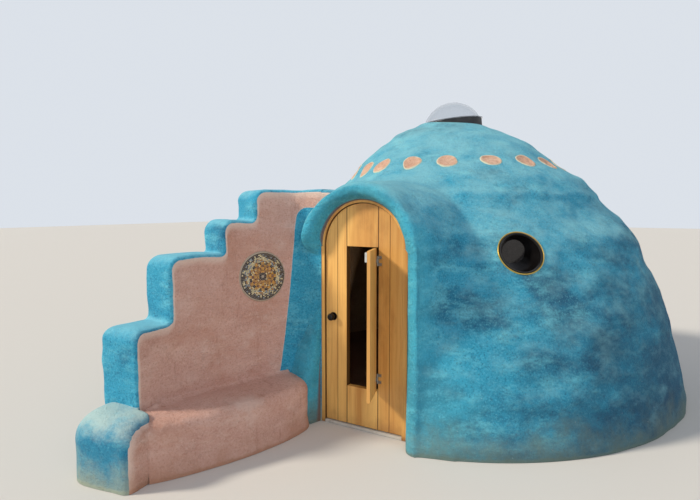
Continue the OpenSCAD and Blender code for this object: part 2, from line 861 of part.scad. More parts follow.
// The seat fills the wall's hollow side as far as the pillar, whose front it runs into
module bench() {
    color(pink) difference() {
        intersection() {
            seat_mass();
            wing_column(wing_angles[0], wing_angles[5], wing_r - 2 * bench_d, wing_r - seam,
                bench_h + past, 0, 0);
        }
        end_cut(wing_angles[0], bench_h, bench_end_round, -1);
        wing_column(wing_angles[4] + 2 * wing_seam_a, 2 * wing_angles[5], wing_r - pillar_d - seam,
            wing_r + wing_t, wing_heights[4], 0, 0);
        dome_form();
    }
}

module medallion_field() {
    color([0.74, 0.55, 0.26]) at_medallion() translate([0, 0, medal_proud - medal_t])
        cylinder(d = medal_d - 2 * medal_rim, h = medal_t);
}

module medallion_rim() {
    color([0.22, 0.20, 0.22]) at_medallion() translate([0, 0, medal_proud - medal_t]) difference() {
        cylinder(d = medal_d, h = medal_t);
        translate([0, 0, -past]) cylinder(d = medal_d - 2 * medal_rim, h = medal_t + 2 * past);
    }
}

earthen_floor();
door_side_wall(-1);  // wall_door_left
door_side_wall(1);  // wall_door_right
wall_over_door();
wall_porthole();
wall_bay(1);  // wall_right
wall_bay(2);  // wall_back_right
wall_bay(3);  // wall_back_left
wall_bay(4);  // wall_left
wall_bay(5);  // wall_front_left
cap_quarter(0);  // cap_front
cap_quarter(1);  // cap_right
cap_quarter(2);  // cap_back
cap_quarter(3);  // cap_left
roof_discs();
skylight_curb();
skylight_flange();
skylight_bubble();
porthole_tube();
porthole_rim();
porthole_glass();
entry_pier_left();
entry_pier_right();
entry_hood();
threshold();
frame_post(-1);  // frame_post_left
frame_post(1);  // frame_post_right
frame_head();
frame_hinges();
wing_step(0);  // wing_step_1
wing_step(1);  // wing_step_2
wing_step(2);  // wing_step_3
wing_step(3);  // wing_step_4
wing_end_pillar();
bench();
medallion_field();
medallion_rim();
door_boards();
door_ledges();
door_knobs();
door_hinges();
shutter_hinge_leaves();
hatch_shutter();
hatch_hinges();
hatch_latch();
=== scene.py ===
import math

import bpy
import numpy as np
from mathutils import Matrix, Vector


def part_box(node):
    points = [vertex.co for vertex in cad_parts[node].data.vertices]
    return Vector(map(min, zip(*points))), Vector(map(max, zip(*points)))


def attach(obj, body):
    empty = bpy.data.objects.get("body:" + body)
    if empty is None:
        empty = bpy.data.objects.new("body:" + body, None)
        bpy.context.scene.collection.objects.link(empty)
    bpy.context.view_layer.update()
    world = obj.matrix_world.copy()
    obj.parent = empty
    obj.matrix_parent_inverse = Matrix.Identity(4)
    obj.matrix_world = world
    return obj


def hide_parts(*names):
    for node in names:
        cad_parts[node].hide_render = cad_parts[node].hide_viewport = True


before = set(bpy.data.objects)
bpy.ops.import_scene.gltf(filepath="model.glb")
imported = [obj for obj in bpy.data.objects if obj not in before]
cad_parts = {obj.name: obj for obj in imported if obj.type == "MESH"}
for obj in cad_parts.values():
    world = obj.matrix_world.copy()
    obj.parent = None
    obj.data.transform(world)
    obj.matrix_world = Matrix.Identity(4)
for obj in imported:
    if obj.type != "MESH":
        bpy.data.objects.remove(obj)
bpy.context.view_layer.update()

# Sizes, in metres, from the frame where it holds them

# How far a surface keeps off a solid that it would otherwise touch
SLACK = 0.001

# Dome wall, cap, room and crown, and the heart, the place in the room where the rays start
DOME_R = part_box("wall_right")[1].x
DOME_CLOSE_Z, DOME_BOW = 2.62, 1.6
SHOULDER_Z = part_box("cap_back")[0].z
CAP_CLOSE, CAP_BOW = 0.68, 1.8
ROOM_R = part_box("earthen_floor")[1].x
ROOM_CLOSE_Z = 2.28
CROWN_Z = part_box("skylight_curb")[0].z
CROWN_HOLE_R = 0.25
CURB_R = 0.306
CURB_RISE = math.radians(120.7)
HEART_X, HEART_Y, HEART_Z = 0.05, -0.75, 0.85

# Door frame, arch and passage
DOOR_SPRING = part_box("frame_post_right")[1].z
FRAME_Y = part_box("frame_post_right")[0].y
BACK_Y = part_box("frame_post_right")[1].y
HALF_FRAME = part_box("frame_post_right")[1].x
ARCH_R = 0.360
PASSAGE_Z, PASSAGE_RISE = 1.789, 0.042
LEAF_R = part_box("door_boards")[1].x
BOARD_JOINTS = (-LEAF_R + 0.107, -LEAF_R + 0.193, LEAF_R - 0.204, LEAF_R - 0.107)

# Entry: its pier and splay, its vault that widens and sinks inwards from VAULT_Y, and its rolled edge
PIER_CORNER = 0.491
PIER_FRONT = 2.245
PIER_LEAN = math.tan(math.radians(5.3))
SPLAY = (PIER_CORNER - HALF_FRAME) / (PIER_FRONT + FRAME_Y)
VAULT_Y, VAULT_END_Y = -2.10, -0.9
VAULT_R, VAULT_SPREAD, VAULT_SINK = 0.50, 0.40, 0.357
ROLL_R, ROLL_HALF = 0.462, 0.046
DENT_TURN, DENT_WIDTH = 2.25, 0.40
FRONT_ROUND, ROLL_ROUND, VALLEY_ROUND, GROOVE = 0.16, 0.05, 0.10, 0.024

# Porthole: its way out from the house's middle line, and where its bowl's upright end is on that way
PORT_ANGLE = math.radians(36.7)
PORT_Z = 1.405
PORT_HOLE_R, PORT_TUBE_R, PORT_RIM_R = 0.176, 0.165, 0.180
PORT_DEPTH, BOWL_DEPTH = 0.40, 0.140
BOWL_END = float(DOME_R * math.sqrt(1 - (PORT_Z / DOME_CLOSE_Z) ** DOME_BOW)) - BOWL_DEPTH

# Wing wall: the middle of its curve, its steps, rows of points and arrises, the blue zone beside the door,
# border values for all blue and all pink, the pink's lap on the front arris, and the length over the door
WING_X, WING_Y = 1.25, -DOME_R - 0.96
WING_R, WING_T = 2.22, 0.35
WING_ENDS = [math.radians(a) for a in (23.5, 16.5, 5.2, -2.3)]
WING_TOPS = [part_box("wing_step_" + n)[1].z for n in "1234"]
WING_BEHIND = 20
FRONT_ROWS, BACK_ROWS, PAINTED_ROWS = 88, 40, 92
FRONT_ARRIS, BACK_ARRIS = 0.034, 0.088
STEP_BEND, STEP_CREASE = 0.095, 0.03
ZONE_TOP, ZONE_BEND, ZONE_GROWTH = 1.745, 0.09, 2.5
ALL_BLUE, ALL_PINK, PINK_LAP = 0.3, -0.3, 0.012
OVER_DOOR, OVER_DOOR_R = 0.42, 0.40

# End pillar and bench
PILLAR_END = math.radians(-9.5)
PILLAR_R = WING_R - 0.19
PILLAR_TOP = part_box("wing_end_pillar")[1].z
BENCH_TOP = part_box("bench")[1].z
BENCH_R, BENCH_DEPTH, BENCH_EDGE = 2.21, 0.435, 0.085
BENCH_START, BENCH_MIDDLE, BENCH_END = [math.radians(a) for a in (-4.6, 16, 33)]

# Mosaic and roof discs, some of them nudged by degrees, by number from the door round to the right
MEDAL_ANGLE = math.radians(25)
MEDAL_Z, MEDAL_R = 1.2, 0.1925
TILE_STEP, TILE_GAP = 0.0115, 0.0011
DISC_Z, DISC_R, DISCS = 2.18, 0.1025, 20
DISC_NUDGES = {1: -0.7, 2: 1.8, 3: 2.5, 4: 2.5, 18: 2.5, 19: -0.7}

# How strong the hand-made unevenness is on each surface, and the seed of its lumps
DOME_RELIEF, DOME_SEED = 1.30, 11
REVEAL_RELIEF, REVEAL_SEED = 0.35, 23
ROOM_RELIEF, ROOM_SEED = 0.4, 31
WING_RELIEF, WING_SEED = 0.9, 41
BENCH_RELIEF, BENCH_SEED = 0.8, 51
PILLAR_RELIEF, PILLAR_SEED = 0.7, 61
STEP_RELIEF, STEP_SEED = 0.012, 5
DISC_RELIEF, DISC_SEED = 0.006, 70

# Camera of the main view
CAMERA_EYE = (1.937, -5.419, 1.75)
CAMERA_HEADING = math.radians(30.679)
CAMERA_PITCH = math.radians(4.73)
CAMERA_LENS = 26.74


# Small tools for numbers


def smooth(x, low=0.0, high=1.0):
    """Zero up to low, one from high, with a soft start and end between them."""
    t = np.clip((x - low) / (high - low), 0, 1)
    return t * t * (3 - 2 * t)


def bump(x, middle, width):
    """A bell of height one round a middle value."""
    return np.exp(-((x - middle) / width) ** 2)


def soft_min(a, b, k):
    """The smaller of two distances, rounded over a width k where they are alike."""
    h = np.clip(0.5 + 0.5 * (b - a) / k, 0, 1)
    return b + (a - b) * h - k * h * (1 - h)


def soft_max(a, b, k):
    """The larger of two distances, rounded over a width k where they are alike."""
    return -soft_min(-a, -b, k)


def unit(v):
    """Vectors brought to length one."""
    return v / np.maximum(np.linalg.norm(v, axis=-1, keepdims=True), 1e-9)


def lumps(points, size, seed):
    """Smooth random heights between -1 and 1, one lump about every size metres.

    Random values on a lattice, mixed between the eight corners of each cell.
    """
    n, shift = 32, 7.3
    table = np.random.default_rng(seed).uniform(-1, 1, (n, n, n))
    p = points / size + shift
    cell = np.floor(p).astype(int)
    f = smooth(p - cell)
    total = np.zeros(p.shape[:-1])
    for corner in np.ndindex(2, 2, 2):
        i, j, k = np.moveaxis((cell + corner) % n, -1, 0)
        total += np.prod(np.where(corner, f, 1 - f), axis=-1) * table[i, j, k]
    return total


def hand_relief(points, seed):
    """The unevenness that hands leave in plaster, in metres.

    Four sizes of lump, and the long level strokes of a trowel.
    """
    height = 0.0075 * lumps(points * np.array([1, 1, 2.3]), 0.24, seed + 4)
    for k, (rise, size) in enumerate(((0.010, 0.62), (0.008, 0.27), (0.0045, 0.12), (0.0014, 0.06))):
        height += rise * lumps(points, size, seed + k)
    return height


# Small tools for meshes


def new_mesh(name, points, quads, material, slot, smooth_faces=True, **attributes):
    """A piece of the house, of points and quads. A quad that repeats a point becomes a triangle."""
    mesh = bpy.data.meshes.new(name)
    faces = [list(dict.fromkeys(f)) for f in quads.tolist()]
    mesh.from_pydata(points.tolist(), [], [f for f in faces if len(f) > 2])
    mesh.materials.append(material)
    for key, values in attributes.items():
        mesh.attributes.new(key, "FLOAT", "POINT").data.foreach_set("value", np.asarray(values, np.float32))
    mesh.polygons.foreach_set("use_smooth", np.full(len(mesh.polygons), smooth_faces))
    mesh.update()
    piece = bpy.data.objects.new(name, mesh)
    bpy.context.scene.collection.objects.link(piece)
    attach(piece, "house")
    return piece


def grid_quads(columns, rows, start=0, wrap=False):
    """Faces of a grid of points stored row by row, each row with that many columns."""
    i = np.arange(columns if wrap else columns - 1)
    j = np.arange(rows - 1)
    i, j = np.meshgrid(i, j)
    right = (i + 1) % columns
    low, high = j * columns, (j + 1) * columns
    return start + np.stack([low + i, low + right, high + right, high + i], -1).reshape(-1, 4)


def path_run(points):
    """Distance along a path of points, from its first."""
    return np.concatenate([[0], np.cumsum(np.linalg.norm(np.diff(points, axis=0), axis=1))])


def curve(start, knee, end, t):
    """A bend from start to end that leaves and arrives along the lines through a knee."""
    return start * (1 - t) ** 2 + 2 * knee * t * (1 - t) + end * t ** 2


def grid_normals(grid):
    """Directions square to a (rows, columns, 3) grid, from the differences across each place."""
    across = np.gradient(grid, axis=1)
    up = np.gradient(grid, axis=0)
    return unit(np.cross(across, up))


def rounded_path(corners, radii, step=0.012, arc_steps=8):
    """Points and inward directions along an open outline in a plane, walked with the solid on its right.

    Each inner corner is an arc of its radius: the tangent turned by even angles about the arc's middle.
    """
    corners = [np.array(c, float) for c in corners]
    points, ways = [], []
    start = corners[0]
    for k in range(1, len(corners)):
        way = unit(corners[k] - corners[k - 1])
        last = k == len(corners) - 1
        onward = way if last else unit(corners[k + 1] - corners[k])
        turn = math.acos(np.clip(way @ onward, -1, 1))
        cut = 0.0 if last else radii[k - 1] * math.tan(turn / 2)
        end = corners[k] - way * cut
        count = max(2, int(np.linalg.norm(end - start) / step) + 1)
        points.append(np.linspace(start, end, count))
        ways.append(np.tile(way, (count, 1)))
        if not last:
            left = math.copysign(1.0, way[0] * onward[1] - way[1] * onward[0])
            centre = end + np.array([-way[1], way[0]]) * left * radii[k - 1]
            t = np.linspace(0, turn, arc_steps + 1)[1:-1, None] * left
            heading = way * np.cos(t) + np.array([-way[1], way[0]]) * np.sin(t)
            points.append(centre - np.stack([-heading[:, 1], heading[:, 0]], -1) * left * radii[k - 1])
            ways.append(heading)
        start = corners[k] + onward * cut
    ways = np.concatenate(ways)
    return np.concatenate(points), np.stack([ways[:, 1], -ways[:, 0]], -1)


# Shader nodes


def rgb(r, g, b):
    """A colour as the eye reads it, 0 to 255, turned into the values that shaders use."""
    return tuple(((c / 255 + 0.055) / 1.055) ** 2.4 for c in (r, g, b)) + (1.0,)


def give(tree, node, inputs):
    """Sets a node's inputs, or links them where the value is another node's output."""
    for name, value in inputs.items():
        if isinstance(value, bpy.types.NodeSocket):
            tree.links.new(value, node.inputs[name])
        else:
            node.inputs[name].default_value = value


def add(tree, kind, inputs=None, **settings):
    """A new shader node with its settings and inputs."""
    node = tree.nodes.new("ShaderNode" + kind)
    for name, value in settings.items():
        setattr(node, name, value)
    give(tree, node, inputs or {})
    return node


def mix(tree, factor, a, b):
    """One colour over another."""
    return add(tree, "Mix", {0: factor, 6: a, 7: b}, data_type="RGBA").outputs[2]


def noise(tree, where, scale, detail=4.0, rough=0.55):
    """Noise between 0 and 1."""
    return add(tree, "TexNoise", {"Vector": where, "Scale": scale, "Detail": detail,
                                  "Roughness": rough}).outputs[0]


def between(tree, value, low, high, to_low=0.0, to_high=1.0):
    """A value carried softly from one range to another, held at the ends."""
    return add(tree, "MapRange", {0: value, 1: low, 2: high, 3: to_low, 4: to_high},
               interpolation_type="SMOOTHSTEP").outputs[0]


def maths(tree, operation, a, b=0.0):
    """One sum on two values."""
    return add(tree, "Math", {0: a, 1: b}, operation=operation).outputs[0]


def plus(tree, a, b):
    """The sum of two values."""
    return maths(tree, "ADD", a, b)


def minus(tree, a, b):
    """The difference of two values."""
    return maths(tree, "SUBTRACT", a, b)


def times(tree, a, b):
    """The product of two values."""
    return maths(tree, "MULTIPLY", a, b)


def place(tree):
    """The point being shaded, in the object's own metres."""
    return add(tree, "TexCoord").outputs["Object"]


def xyz(tree, where):
    """The three coordinates of a place or direction."""
    return add(tree, "SeparateXYZ", {0: where}).outputs


def stretched(tree, where, scale):
    """A place with its axes scaled."""
    return add(tree, "Mapping", {"Vector": where, "Scale": scale}).outputs[0]


def own(tree, name):
    """A value that the mesh itself carries."""
    return add(tree, "Attribute", attribute_name=name).outputs["Fac"]


def new_group(name, inputs, outputs):
    """An empty node group with its sockets: (kind, label, value) in and (kind, label) out."""
    tree = bpy.data.node_groups.new(name, "ShaderNodeTree")
    for kind, label, value in inputs:
        socket = tree.interface.new_socket(label, in_out="INPUT", socket_type="NodeSocket" + kind)
        socket.default_value = value
    for kind, label in outputs:
        tree.interface.new_socket(label, in_out="OUTPUT", socket_type="NodeSocket" + kind)
    return tree, tree.nodes.new("NodeGroupInput").outputs, tree.nodes.new("NodeGroupOutput").inputs


def use(tree, group, inputs):
    """The outputs of a node group used in a tree."""
    node = add(tree, "Group", node_tree=group)
    give(tree, node, inputs)
    return node.outputs


def surface(name, paint, rough, depth=None, **inputs):
    """A material. paint(tree) gives its colour and, if it has relief to some depth, a height up to 1."""
    material = bpy.data.materials.new(name)
    material.use_nodes = True
    tree = material.node_tree
    shader = tree.nodes["Principled BSDF"]
    colour, height = paint(tree)
    give(tree, shader, {"Base Color": colour, "Roughness": rough})
    give(tree, shader, {label.replace("_", " "): value for label, value in inputs.items()})
    if height is not None:
        relief = add(tree, "Bump", {"Strength": 1.0, "Distance": depth, "Height": height})
        tree.links.new(relief.outputs[0], shader.inputs["Normal"])
    return material


def build_plaster():
    """Hand-brushed wash over sandy mud: dark clouds, a painted highlight on the trowelled ridges, and grain
    painted lighter on its raised specks and darker in its low ones, as painted highlight and shade.
    """
    tree, given, out = new_group(
        "brushed plaster",
        [("Color", "Light", rgb(255, 255, 255)), ("Color", "Middle", rgb(128, 128, 128)),
         ("Color", "Dark", rgb(20, 20, 20)), ("Float", "Blotch", 1.0)],
        [("Color", "Color"), ("Float", "Height")])
    where = place(tree)
    cloud = noise(tree, stretched(tree, where, (1.0, 1.0, 1.5)), 1.25, 6.0, 0.62)
    brush = noise(tree, stretched(tree, where, (1.0, 1.0, 2.3)), 3.8, 9.0, 0.72)
    dabs = noise(tree, stretched(tree, where, (1.0, 1.0, 1.3)), 15.0, 6.0, 0.72)
    grain = noise(tree, where, 74.0, 4.0, 0.72)
    sand = noise(tree, where, 190.0, 2.0, 0.6)
    dark = times(tree, between(tree, cloud, 0.49, 0.66), given["Blotch"])
    colour = mix(tree, dark, given["Middle"], given["Dark"])
    # Painted highlight: the light tone follows the trowel strokes that also raise the relief
    light = times(tree, between(tree, brush, 0.46, 0.72), given["Blotch"])
    colour = mix(tree, light, colour, given["Light"])
    colour = mix(tree, between(tree, dabs, 0.55, 0.74, 0.0, 0.52), colour, given["Dark"])
    # Painted highlight on the raised grains and painted shade in the low ones: the grain's tone follows its
    # own height
    colour = mix(tree, between(tree, grain, 0.52, 0.70, 0.0, 0.50), colour, given["Light"])
    colour = mix(tree, between(tree, grain, 0.48, 0.32, 0.0, 0.60), colour, given["Dark"])
    height = times(tree, brush, 0.55)
    for part, share in ((dabs, 0.55), (grain, 0.34), (sand, 0.12)):
        height = plus(tree, height, times(tree, part, share))
    tree.links.new(colour, out["Color"])
    tree.links.new(height, out["Height"])
    return tree


def build_splash():
    """Rain splash and dust over the foot of a wall: strongest at height zero, ragged at its top."""
    tree, given, out = new_group(
        "splash zone",
        [("Color", "Color", rgb(128, 128, 128)), ("Color", "Dust", rgb(190, 170, 140)),
         ("Float", "Height", 0.3), ("Float", "Strength", 0.6)],
        [("Color", "Color")])
    where = place(tree)
    z = xyz(tree, where)[2]
    patch = noise(tree, stretched(tree, where, (1, 1, 0.8)), 3.4, 7.0, 0.70)
    level = plus(tree, maths(tree, "DIVIDE", z, given["Height"]), times(tree, patch, 2.4))
    zone = times(tree, between(tree, level, 0.95, 2.1, 1.0, 0.0), given["Strength"])
    colour = mix(tree, zone, given["Color"], given["Dust"])
    rim = between(tree, plus(tree, z, times(tree, patch, 0.05)), 0.035, 0.06, 0.75, 0.0)
    tree.links.new(mix(tree, rim, colour, given["Dust"]), out["Color"])
    return tree


def build_wood():
    """Planed softwood, its grain along the object's Z: streaks, broad bands, uneven boards and stains."""
    tree, given, out = new_group(
        "planed pine",
        [("Color", "Light", rgb(230, 180, 105)), ("Color", "Dark", rgb(170, 105, 45)),
         ("Vector", "Grain", (0.0, 0.0, 0.0))],
        [("Color", "Color"), ("Float", "Height")])
    where = place(tree)
    moved = add(tree, "VectorMath", {0: where, 1: given["Grain"]}, operation="ADD").outputs[0]
    wave = noise(tree, stretched(tree, moved, (1, 1, 0.25)), 5.0, 2.0)
    sway = add(tree, "CombineXYZ", {0: times(tree, wave, 0.05)}).outputs[0]
    bent = add(tree, "VectorMath", {0: moved, 1: sway}, operation="ADD").outputs[0]
    bands = noise(tree, stretched(tree, bent, (14, 14, 0.7)), 2.2, 3.0, 0.5)
    streaks = noise(tree, stretched(tree, bent, (60, 60, 1.6)), 3.0, 4.0, 0.6)
    colour = mix(tree, between(tree, bands, 0.42, 0.72, 0.0, 0.62), given["Light"], given["Dark"])
    colour = mix(tree, between(tree, streaks, 0.45, 0.75, 0.0, 0.28), colour, given["Dark"])
    board = noise(tree, stretched(tree, moved, (8, 8, 0.3)), 1.0, 1.0)
    colour = mix(tree, between(tree, board, 0.40, 0.62, 0.0, 0.42), colour, rgb(184, 112, 44))
    age = noise(tree, stretched(tree, where, (3, 3, 1.2)), 1.6, 5.0, 0.6)
    colour = mix(tree, between(tree, age, 0.52, 0.74, 0.0, 0.35), colour, rgb(132, 80, 34))
    tree.links.new(colour, out["Color"])
    tree.links.new(streaks, out["Height"])
    return tree


PLASTER = build_plaster()
SPLASH = build_splash()
WOOD = build_wood()
SHADE_BLUE = rgb(22, 84, 120)


def washed(tree, light, middle, dark, blotch):
    """Plaster in three tones of one colour, more or less blotchy."""
    return use(tree, PLASTER, {"Light": light, "Middle": middle, "Dark": dark, "Blotch": blotch})


def blue_wash(tree):
    """Turquoise wash over earth plaster."""
    return washed(tree, rgb(124, 218, 234), rgb(52, 168, 203), SHADE_BLUE, 0.80)


def pink_wash(tree):
    """Natural pink clay plaster."""
    return washed(tree, rgb(234, 200, 184), rgb(212, 168, 152), rgb(184, 132, 112), 0.60)


def splashed(tree, colour, dust, height, strength):
    """A colour with rain splash and dust at its foot, up to about a height in metres."""
    given = {"Color": colour, "Dust": dust, "Height": height, "Strength": strength}
    return use(tree, SPLASH, given)["Color"]


def bleached_and_lit_from_above(tree, colour, tone, much):
    """A wash paler on the faces that look up, in brushy patches: partly sun bleaching, partly painted light
    from above.
    """
    up = xyz(tree, add(tree, "TexCoord").outputs["Normal"])[2]
    patch = noise(tree, stretched(tree, place(tree), (1, 1, 1.6)), 4.5, 8.0, 0.74)
    pale = between(tree, plus(tree, up, times(tree, patch, 2.0)), 1.15, 2.15, 0.0, much)
    return mix(tree, pale, colour, tone)


def paint_dome(tree):
    """The dome's wash, lighter on the entry's front as painted light, its splashed foot, salt specks, and
    bare earth by the frame.

    It is deeper low down and to the right, where 0.55 x + 0.35 y - 0.55 z, broken by patches, is high:
    partly a deeper stained tone, partly painted shade on the side turned from the key light.
    """
    wash = blue_wash(tree)
    where = place(tree)
    x, y, z = xyz(tree, where)
    # Partly stain, partly painted shade: the wash deepens towards the right, the back and the foot
    away = minus(tree, plus(tree, times(tree, x, 0.55), times(tree, y, 0.35)), times(tree, z, 0.55))
    patch = noise(tree, stretched(tree, where, (1, 1, 1.7)), 2.2, 8.0, 0.72)
    away = plus(tree, away, times(tree, patch, 2.6))
    colour = mix(tree, between(tree, away, 0.70, 1.95, 0.0, 0.80), wash["Color"], rgb(18, 64, 96))
    # Painted light: the entry's front is lightened where light falls on it
    entry = between(tree, times(tree, y, -1.0), 1.86, 2.12, 0.0, 0.45)
    colour = mix(tree, entry, colour, rgb(90, 208, 232))
    # Paler on faces that look up: partly bleaching, partly painted light from above
    colour = bleached_and_lit_from_above(tree, colour, rgb(150, 216, 226), 0.68)
    colour = splashed(tree, colour, rgb(112, 132, 122), 0.34, 0.80)
    specks = between(tree, noise(tree, where, 95.0, 2.0, 0.5), 0.74, 0.80)
    low = between(tree, z, 0.2, 0.9, 0.75, 0.0)
    colour = mix(tree, times(tree, specks, low), colour, rgb(220, 225, 222))
    colour = mix(tree, between(tree, own(tree, "bare"), 0.35, 0.75, 0.0, 0.8), colour, rgb(130, 88, 66))
    return colour, wash["Height"]


def pink_side(tree, pink, line):
    """The wing wall's clay: warm clouds, drips, pale bloom, fine cracks and a paler rim at the border."""
    where = place(tree)
    warm = between(tree, noise(tree, where, 1.1, 4.0, 0.6), 0.44, 0.66, 0.0, 0.6)
    colour = mix(tree, warm, pink, rgb(198, 142, 116))
    drips = noise(tree, stretched(tree, where, (4.0, 4.0, 0.8)), 2.4, 6.0, 0.66)
    colour = mix(tree, between(tree, drips, 0.56, 0.76, 0.0, 0.55), colour, rgb(160, 104, 80))
    bloom = noise(tree, stretched(tree, where, (1.0, 1.0, 1.3)), 3.1, 7.0, 0.70)
    colour = mix(tree, between(tree, bloom, 0.54, 0.74, 0.0, 0.50), colour, rgb(232, 206, 192))
    crack = maths(tree, "ABSOLUTE", minus(tree, noise(tree, where, 2.6, 6.0, 0.6), 0.5))
    colour = mix(tree, between(tree, crack, 0.0, 0.0035, 0.35, 0.0), colour, rgb(140, 100, 84))
    rim = times(tree, times(tree, between(tree, line, -0.070, -0.012), own(tree, "edge")), 0.62)
    colour = mix(tree, rim, colour, rgb(238, 214, 198))
    colour = mix(tree, between(tree, line, -0.016, -0.004, 0.0, 0.70), colour, rgb(232, 206, 188))
    return splashed(tree, colour, rgb(182, 132, 104), 0.22, 0.6)


def blue_side(tree, blue):
    """The wing wall's turquoise: darkened all over as painted shade and darker still towards the foot,
    paler on top as partly bleaching and partly painted light, chalkier low down.
    """
    z = xyz(tree, place(tree))[2]
    # Painted shade: the blue is darkened a little everywhere, and more towards the foot
    colour = mix(tree, between(tree, z, 0.28, 0.46, 0.48, 0.14), blue, SHADE_BLUE)
    tone = mix(tree, between(tree, z, 0.50, 0.75), rgb(196, 216, 208), rgb(128, 204, 222))
    # Paler on faces that look up: partly bleaching, partly painted light from above
    return splashed(tree, bleached_and_lit_from_above(tree, colour, tone, 0.80), rgb(164, 172, 150), 0.30, 0.75)


def paint_wing(tree):
    """Pink clay on the faces and turquoise round their edges, as far as the mesh's own border value.

    The border value is the distance past the painted line, in metres; the brush made it wobble.
    """
    pink = pink_wash(tree)
    wobble = times(tree, minus(tree, noise(tree, place(tree), 9.0, 5.0, 0.6), 0.5), 0.022)
    line = plus(tree, own(tree, "border"), wobble)
    clay = pink_side(tree, pink["Color"], line)
    blue = blue_side(tree, blue_wash(tree)["Color"])
    return mix(tree, between(tree, line, -0.003, 0.003), clay, blue), pink["Height"]


def paint_earth(light, middle, dark, blotch):
    """Bare earth in three tones, for the room's plaster and its tamped floor."""
    def paint(tree):
        wash = washed(tree, rgb(*light), rgb(*middle), rgb(*dark), blotch)
        return wash["Color"], wash["Height"]
    return paint


def paint_disc(tree):
    """Rough tan plaster in the roof discs, with the pale rim that the brush left round it."""
    wash = washed(tree, rgb(236, 204, 178), rgb(214, 170, 144), rgb(176, 122, 98), 0.9)
    broken = times(tree, noise(tree, place(tree), 14.0, 5.0, 0.6), 0.36)
    rim = between(tree, plus(tree, own(tree, "rim"), broken), 0.98, 1.10)
    return mix(tree, rim, wash["Color"], rgb(222, 220, 192)), wash["Height"]


def paint_wood(light, dark, shift=(0, 0, 0), joints=None):
    """Pine in two tones; the shift moves the grain.

    If joints are given, as x values, dark shadow lies in them and round the arched leaf's edge. It is
    softer in the joints nearest the edge.
    """
    def paint(tree):
        wood = use(tree, WOOD, {"Light": rgb(*light), "Dark": rgb(*dark), "Grain": shift})
        colour = splashed(tree, wood["Color"], rgb(140, 92, 50), 0.20, 0.5)
        if joints is None:
            return colour, wood["Height"]
        spot = xyz(tree, place(tree))
        rise = maths(tree, "MAXIMUM", minus(tree, spot[2], DOOR_SPRING), 0.0)
        reach = maths(tree, "SQRT", plus(tree, times(tree, spot[0], spot[0]), times(tree, rise, rise)))
        shadows = [(reach, LEAF_R + 0.0025, 0.85)]
        shadows += [(spot[0], x, 0.45 if abs(x) > LEAF_R - 0.12 else 0.85) for x in joints]
        for value, line, deep in shadows:
            off = maths(tree, "ABSOLUTE", minus(tree, value, line))
            colour = mix(tree, between(tree, off, 0.0018, 0.0052, deep, 0.0), colour, rgb(44, 24, 12))
        return colour, wood["Height"]
    return paint


def paint_worn(colour, worn, scale=18.0, much=0.4):
    """A plain finish with rubbed or dusty patches of a second colour."""
    def paint(tree):
        patch = noise(tree, place(tree), scale, 6.0, 0.65)
        return mix(tree, between(tree, patch, 0.48, 0.75, 0.0, much), rgb(*colour), rgb(*worn)), None
    return paint


def paint_plain(colour):
    """One even colour."""
    return lambda tree: (rgb(*colour), None)


def paint_bowl(tree):
    """Smoked glass of the porthole's bowl: nearly black, with dust on its upright round end."""
    axis = (math.sin(PORT_ANGLE), -math.cos(PORT_ANGLE), 0.0)
    reach = add(tree, "VectorMath", {0: place(tree), 1: axis}, operation="DOT_PRODUCT").outputs["Value"]
    end = between(tree, reach, BOWL_END + 0.002, BOWL_END + 0.012, 1.0, 0.0)
    dust = noise(tree, place(tree), 30.0, 6.0, 0.7)
    grey = mix(tree, between(tree, dust, 0.4, 0.7), rgb(34, 30, 30), rgb(56, 50, 48))
    return mix(tree, end, rgb(15, 13, 13), grey), None


def paint_tile(tree):
    """Glazed mosaic pieces, each in its own colour, a little cloudy."""
    colour = add(tree, "Attribute", attribute_name="glaze").outputs["Color"]
    cloud = noise(tree, place(tree), 160.0, 3.0, 0.6)
    return mix(tree, between(tree, cloud, 0.4, 0.75, 0.0, 0.25), colour, rgb(226, 216, 196)), cloud


ROOM_TONES = ((222, 200, 168), (204, 178, 144), (178, 148, 114), 0.5)
FLOOR_TONES = ((172, 134, 104), (150, 112, 84), (124, 90, 66), 0.6)

turquoise = surface("turquoise_plaster", paint_dome, 0.92, 0.048)
wing_plaster = surface("wing_plaster", paint_wing, 0.93, 0.026)
room_plaster = surface("room_plaster", paint_earth(*ROOM_TONES), 0.95, 0.012)
earthen = surface("earthen_floor", paint_earth(*FLOOR_TONES), 0.95, 0.012)
clay = surface("clay_disc", paint_disc, 0.95, 0.030)
pine = surface("pine", paint_wood((240, 188, 106), (202, 140, 68), joints=BOARD_JOINTS), 0.42, 0.0008)
pine_frame = surface("pine_frame", paint_wood((234, 180, 98), (194, 130, 62), (3, 1, 0), ()), 0.45, 0.0008)
pine_shutter = surface("pine_shutter", paint_wood((238, 184, 102), (200, 136, 64), (7, 2, 0)), 0.42, 0.0008)
dark_iron = surface("dark_iron", paint_worn((34, 32, 32), (88, 74, 62)), 0.50, Metallic=0.6)
black_metal = surface("black_metal", paint_worn((16, 16, 18), (52, 50, 48)), 0.38, Metallic=0.4)
grey_steel = surface("grey_steel", paint_worn((156, 154, 148), (104, 96, 84)), 0.42, Metallic=0.7)
white_latch = surface("white_latch", paint_worn((206, 206, 200), (150, 146, 138)), 0.45)
threshold_stone = surface("threshold", paint_worn((198, 192, 180), (150, 138, 122), 9.0, 0.7), 0.9)
black_curb = surface("black_curb", paint_worn((26, 26, 28), (84, 78, 70), 12.0), 0.6)
dark_tube = surface("dark_tube", paint_worn((20, 19, 18), (44, 40, 36)), 0.7)
brass_rim = surface("brass_rim", paint_worn((196, 164, 84), (120, 96, 52)), 0.34, Metallic=0.8)
glaze = surface("mosaic_glaze", paint_tile, 0.18, 0.0006)
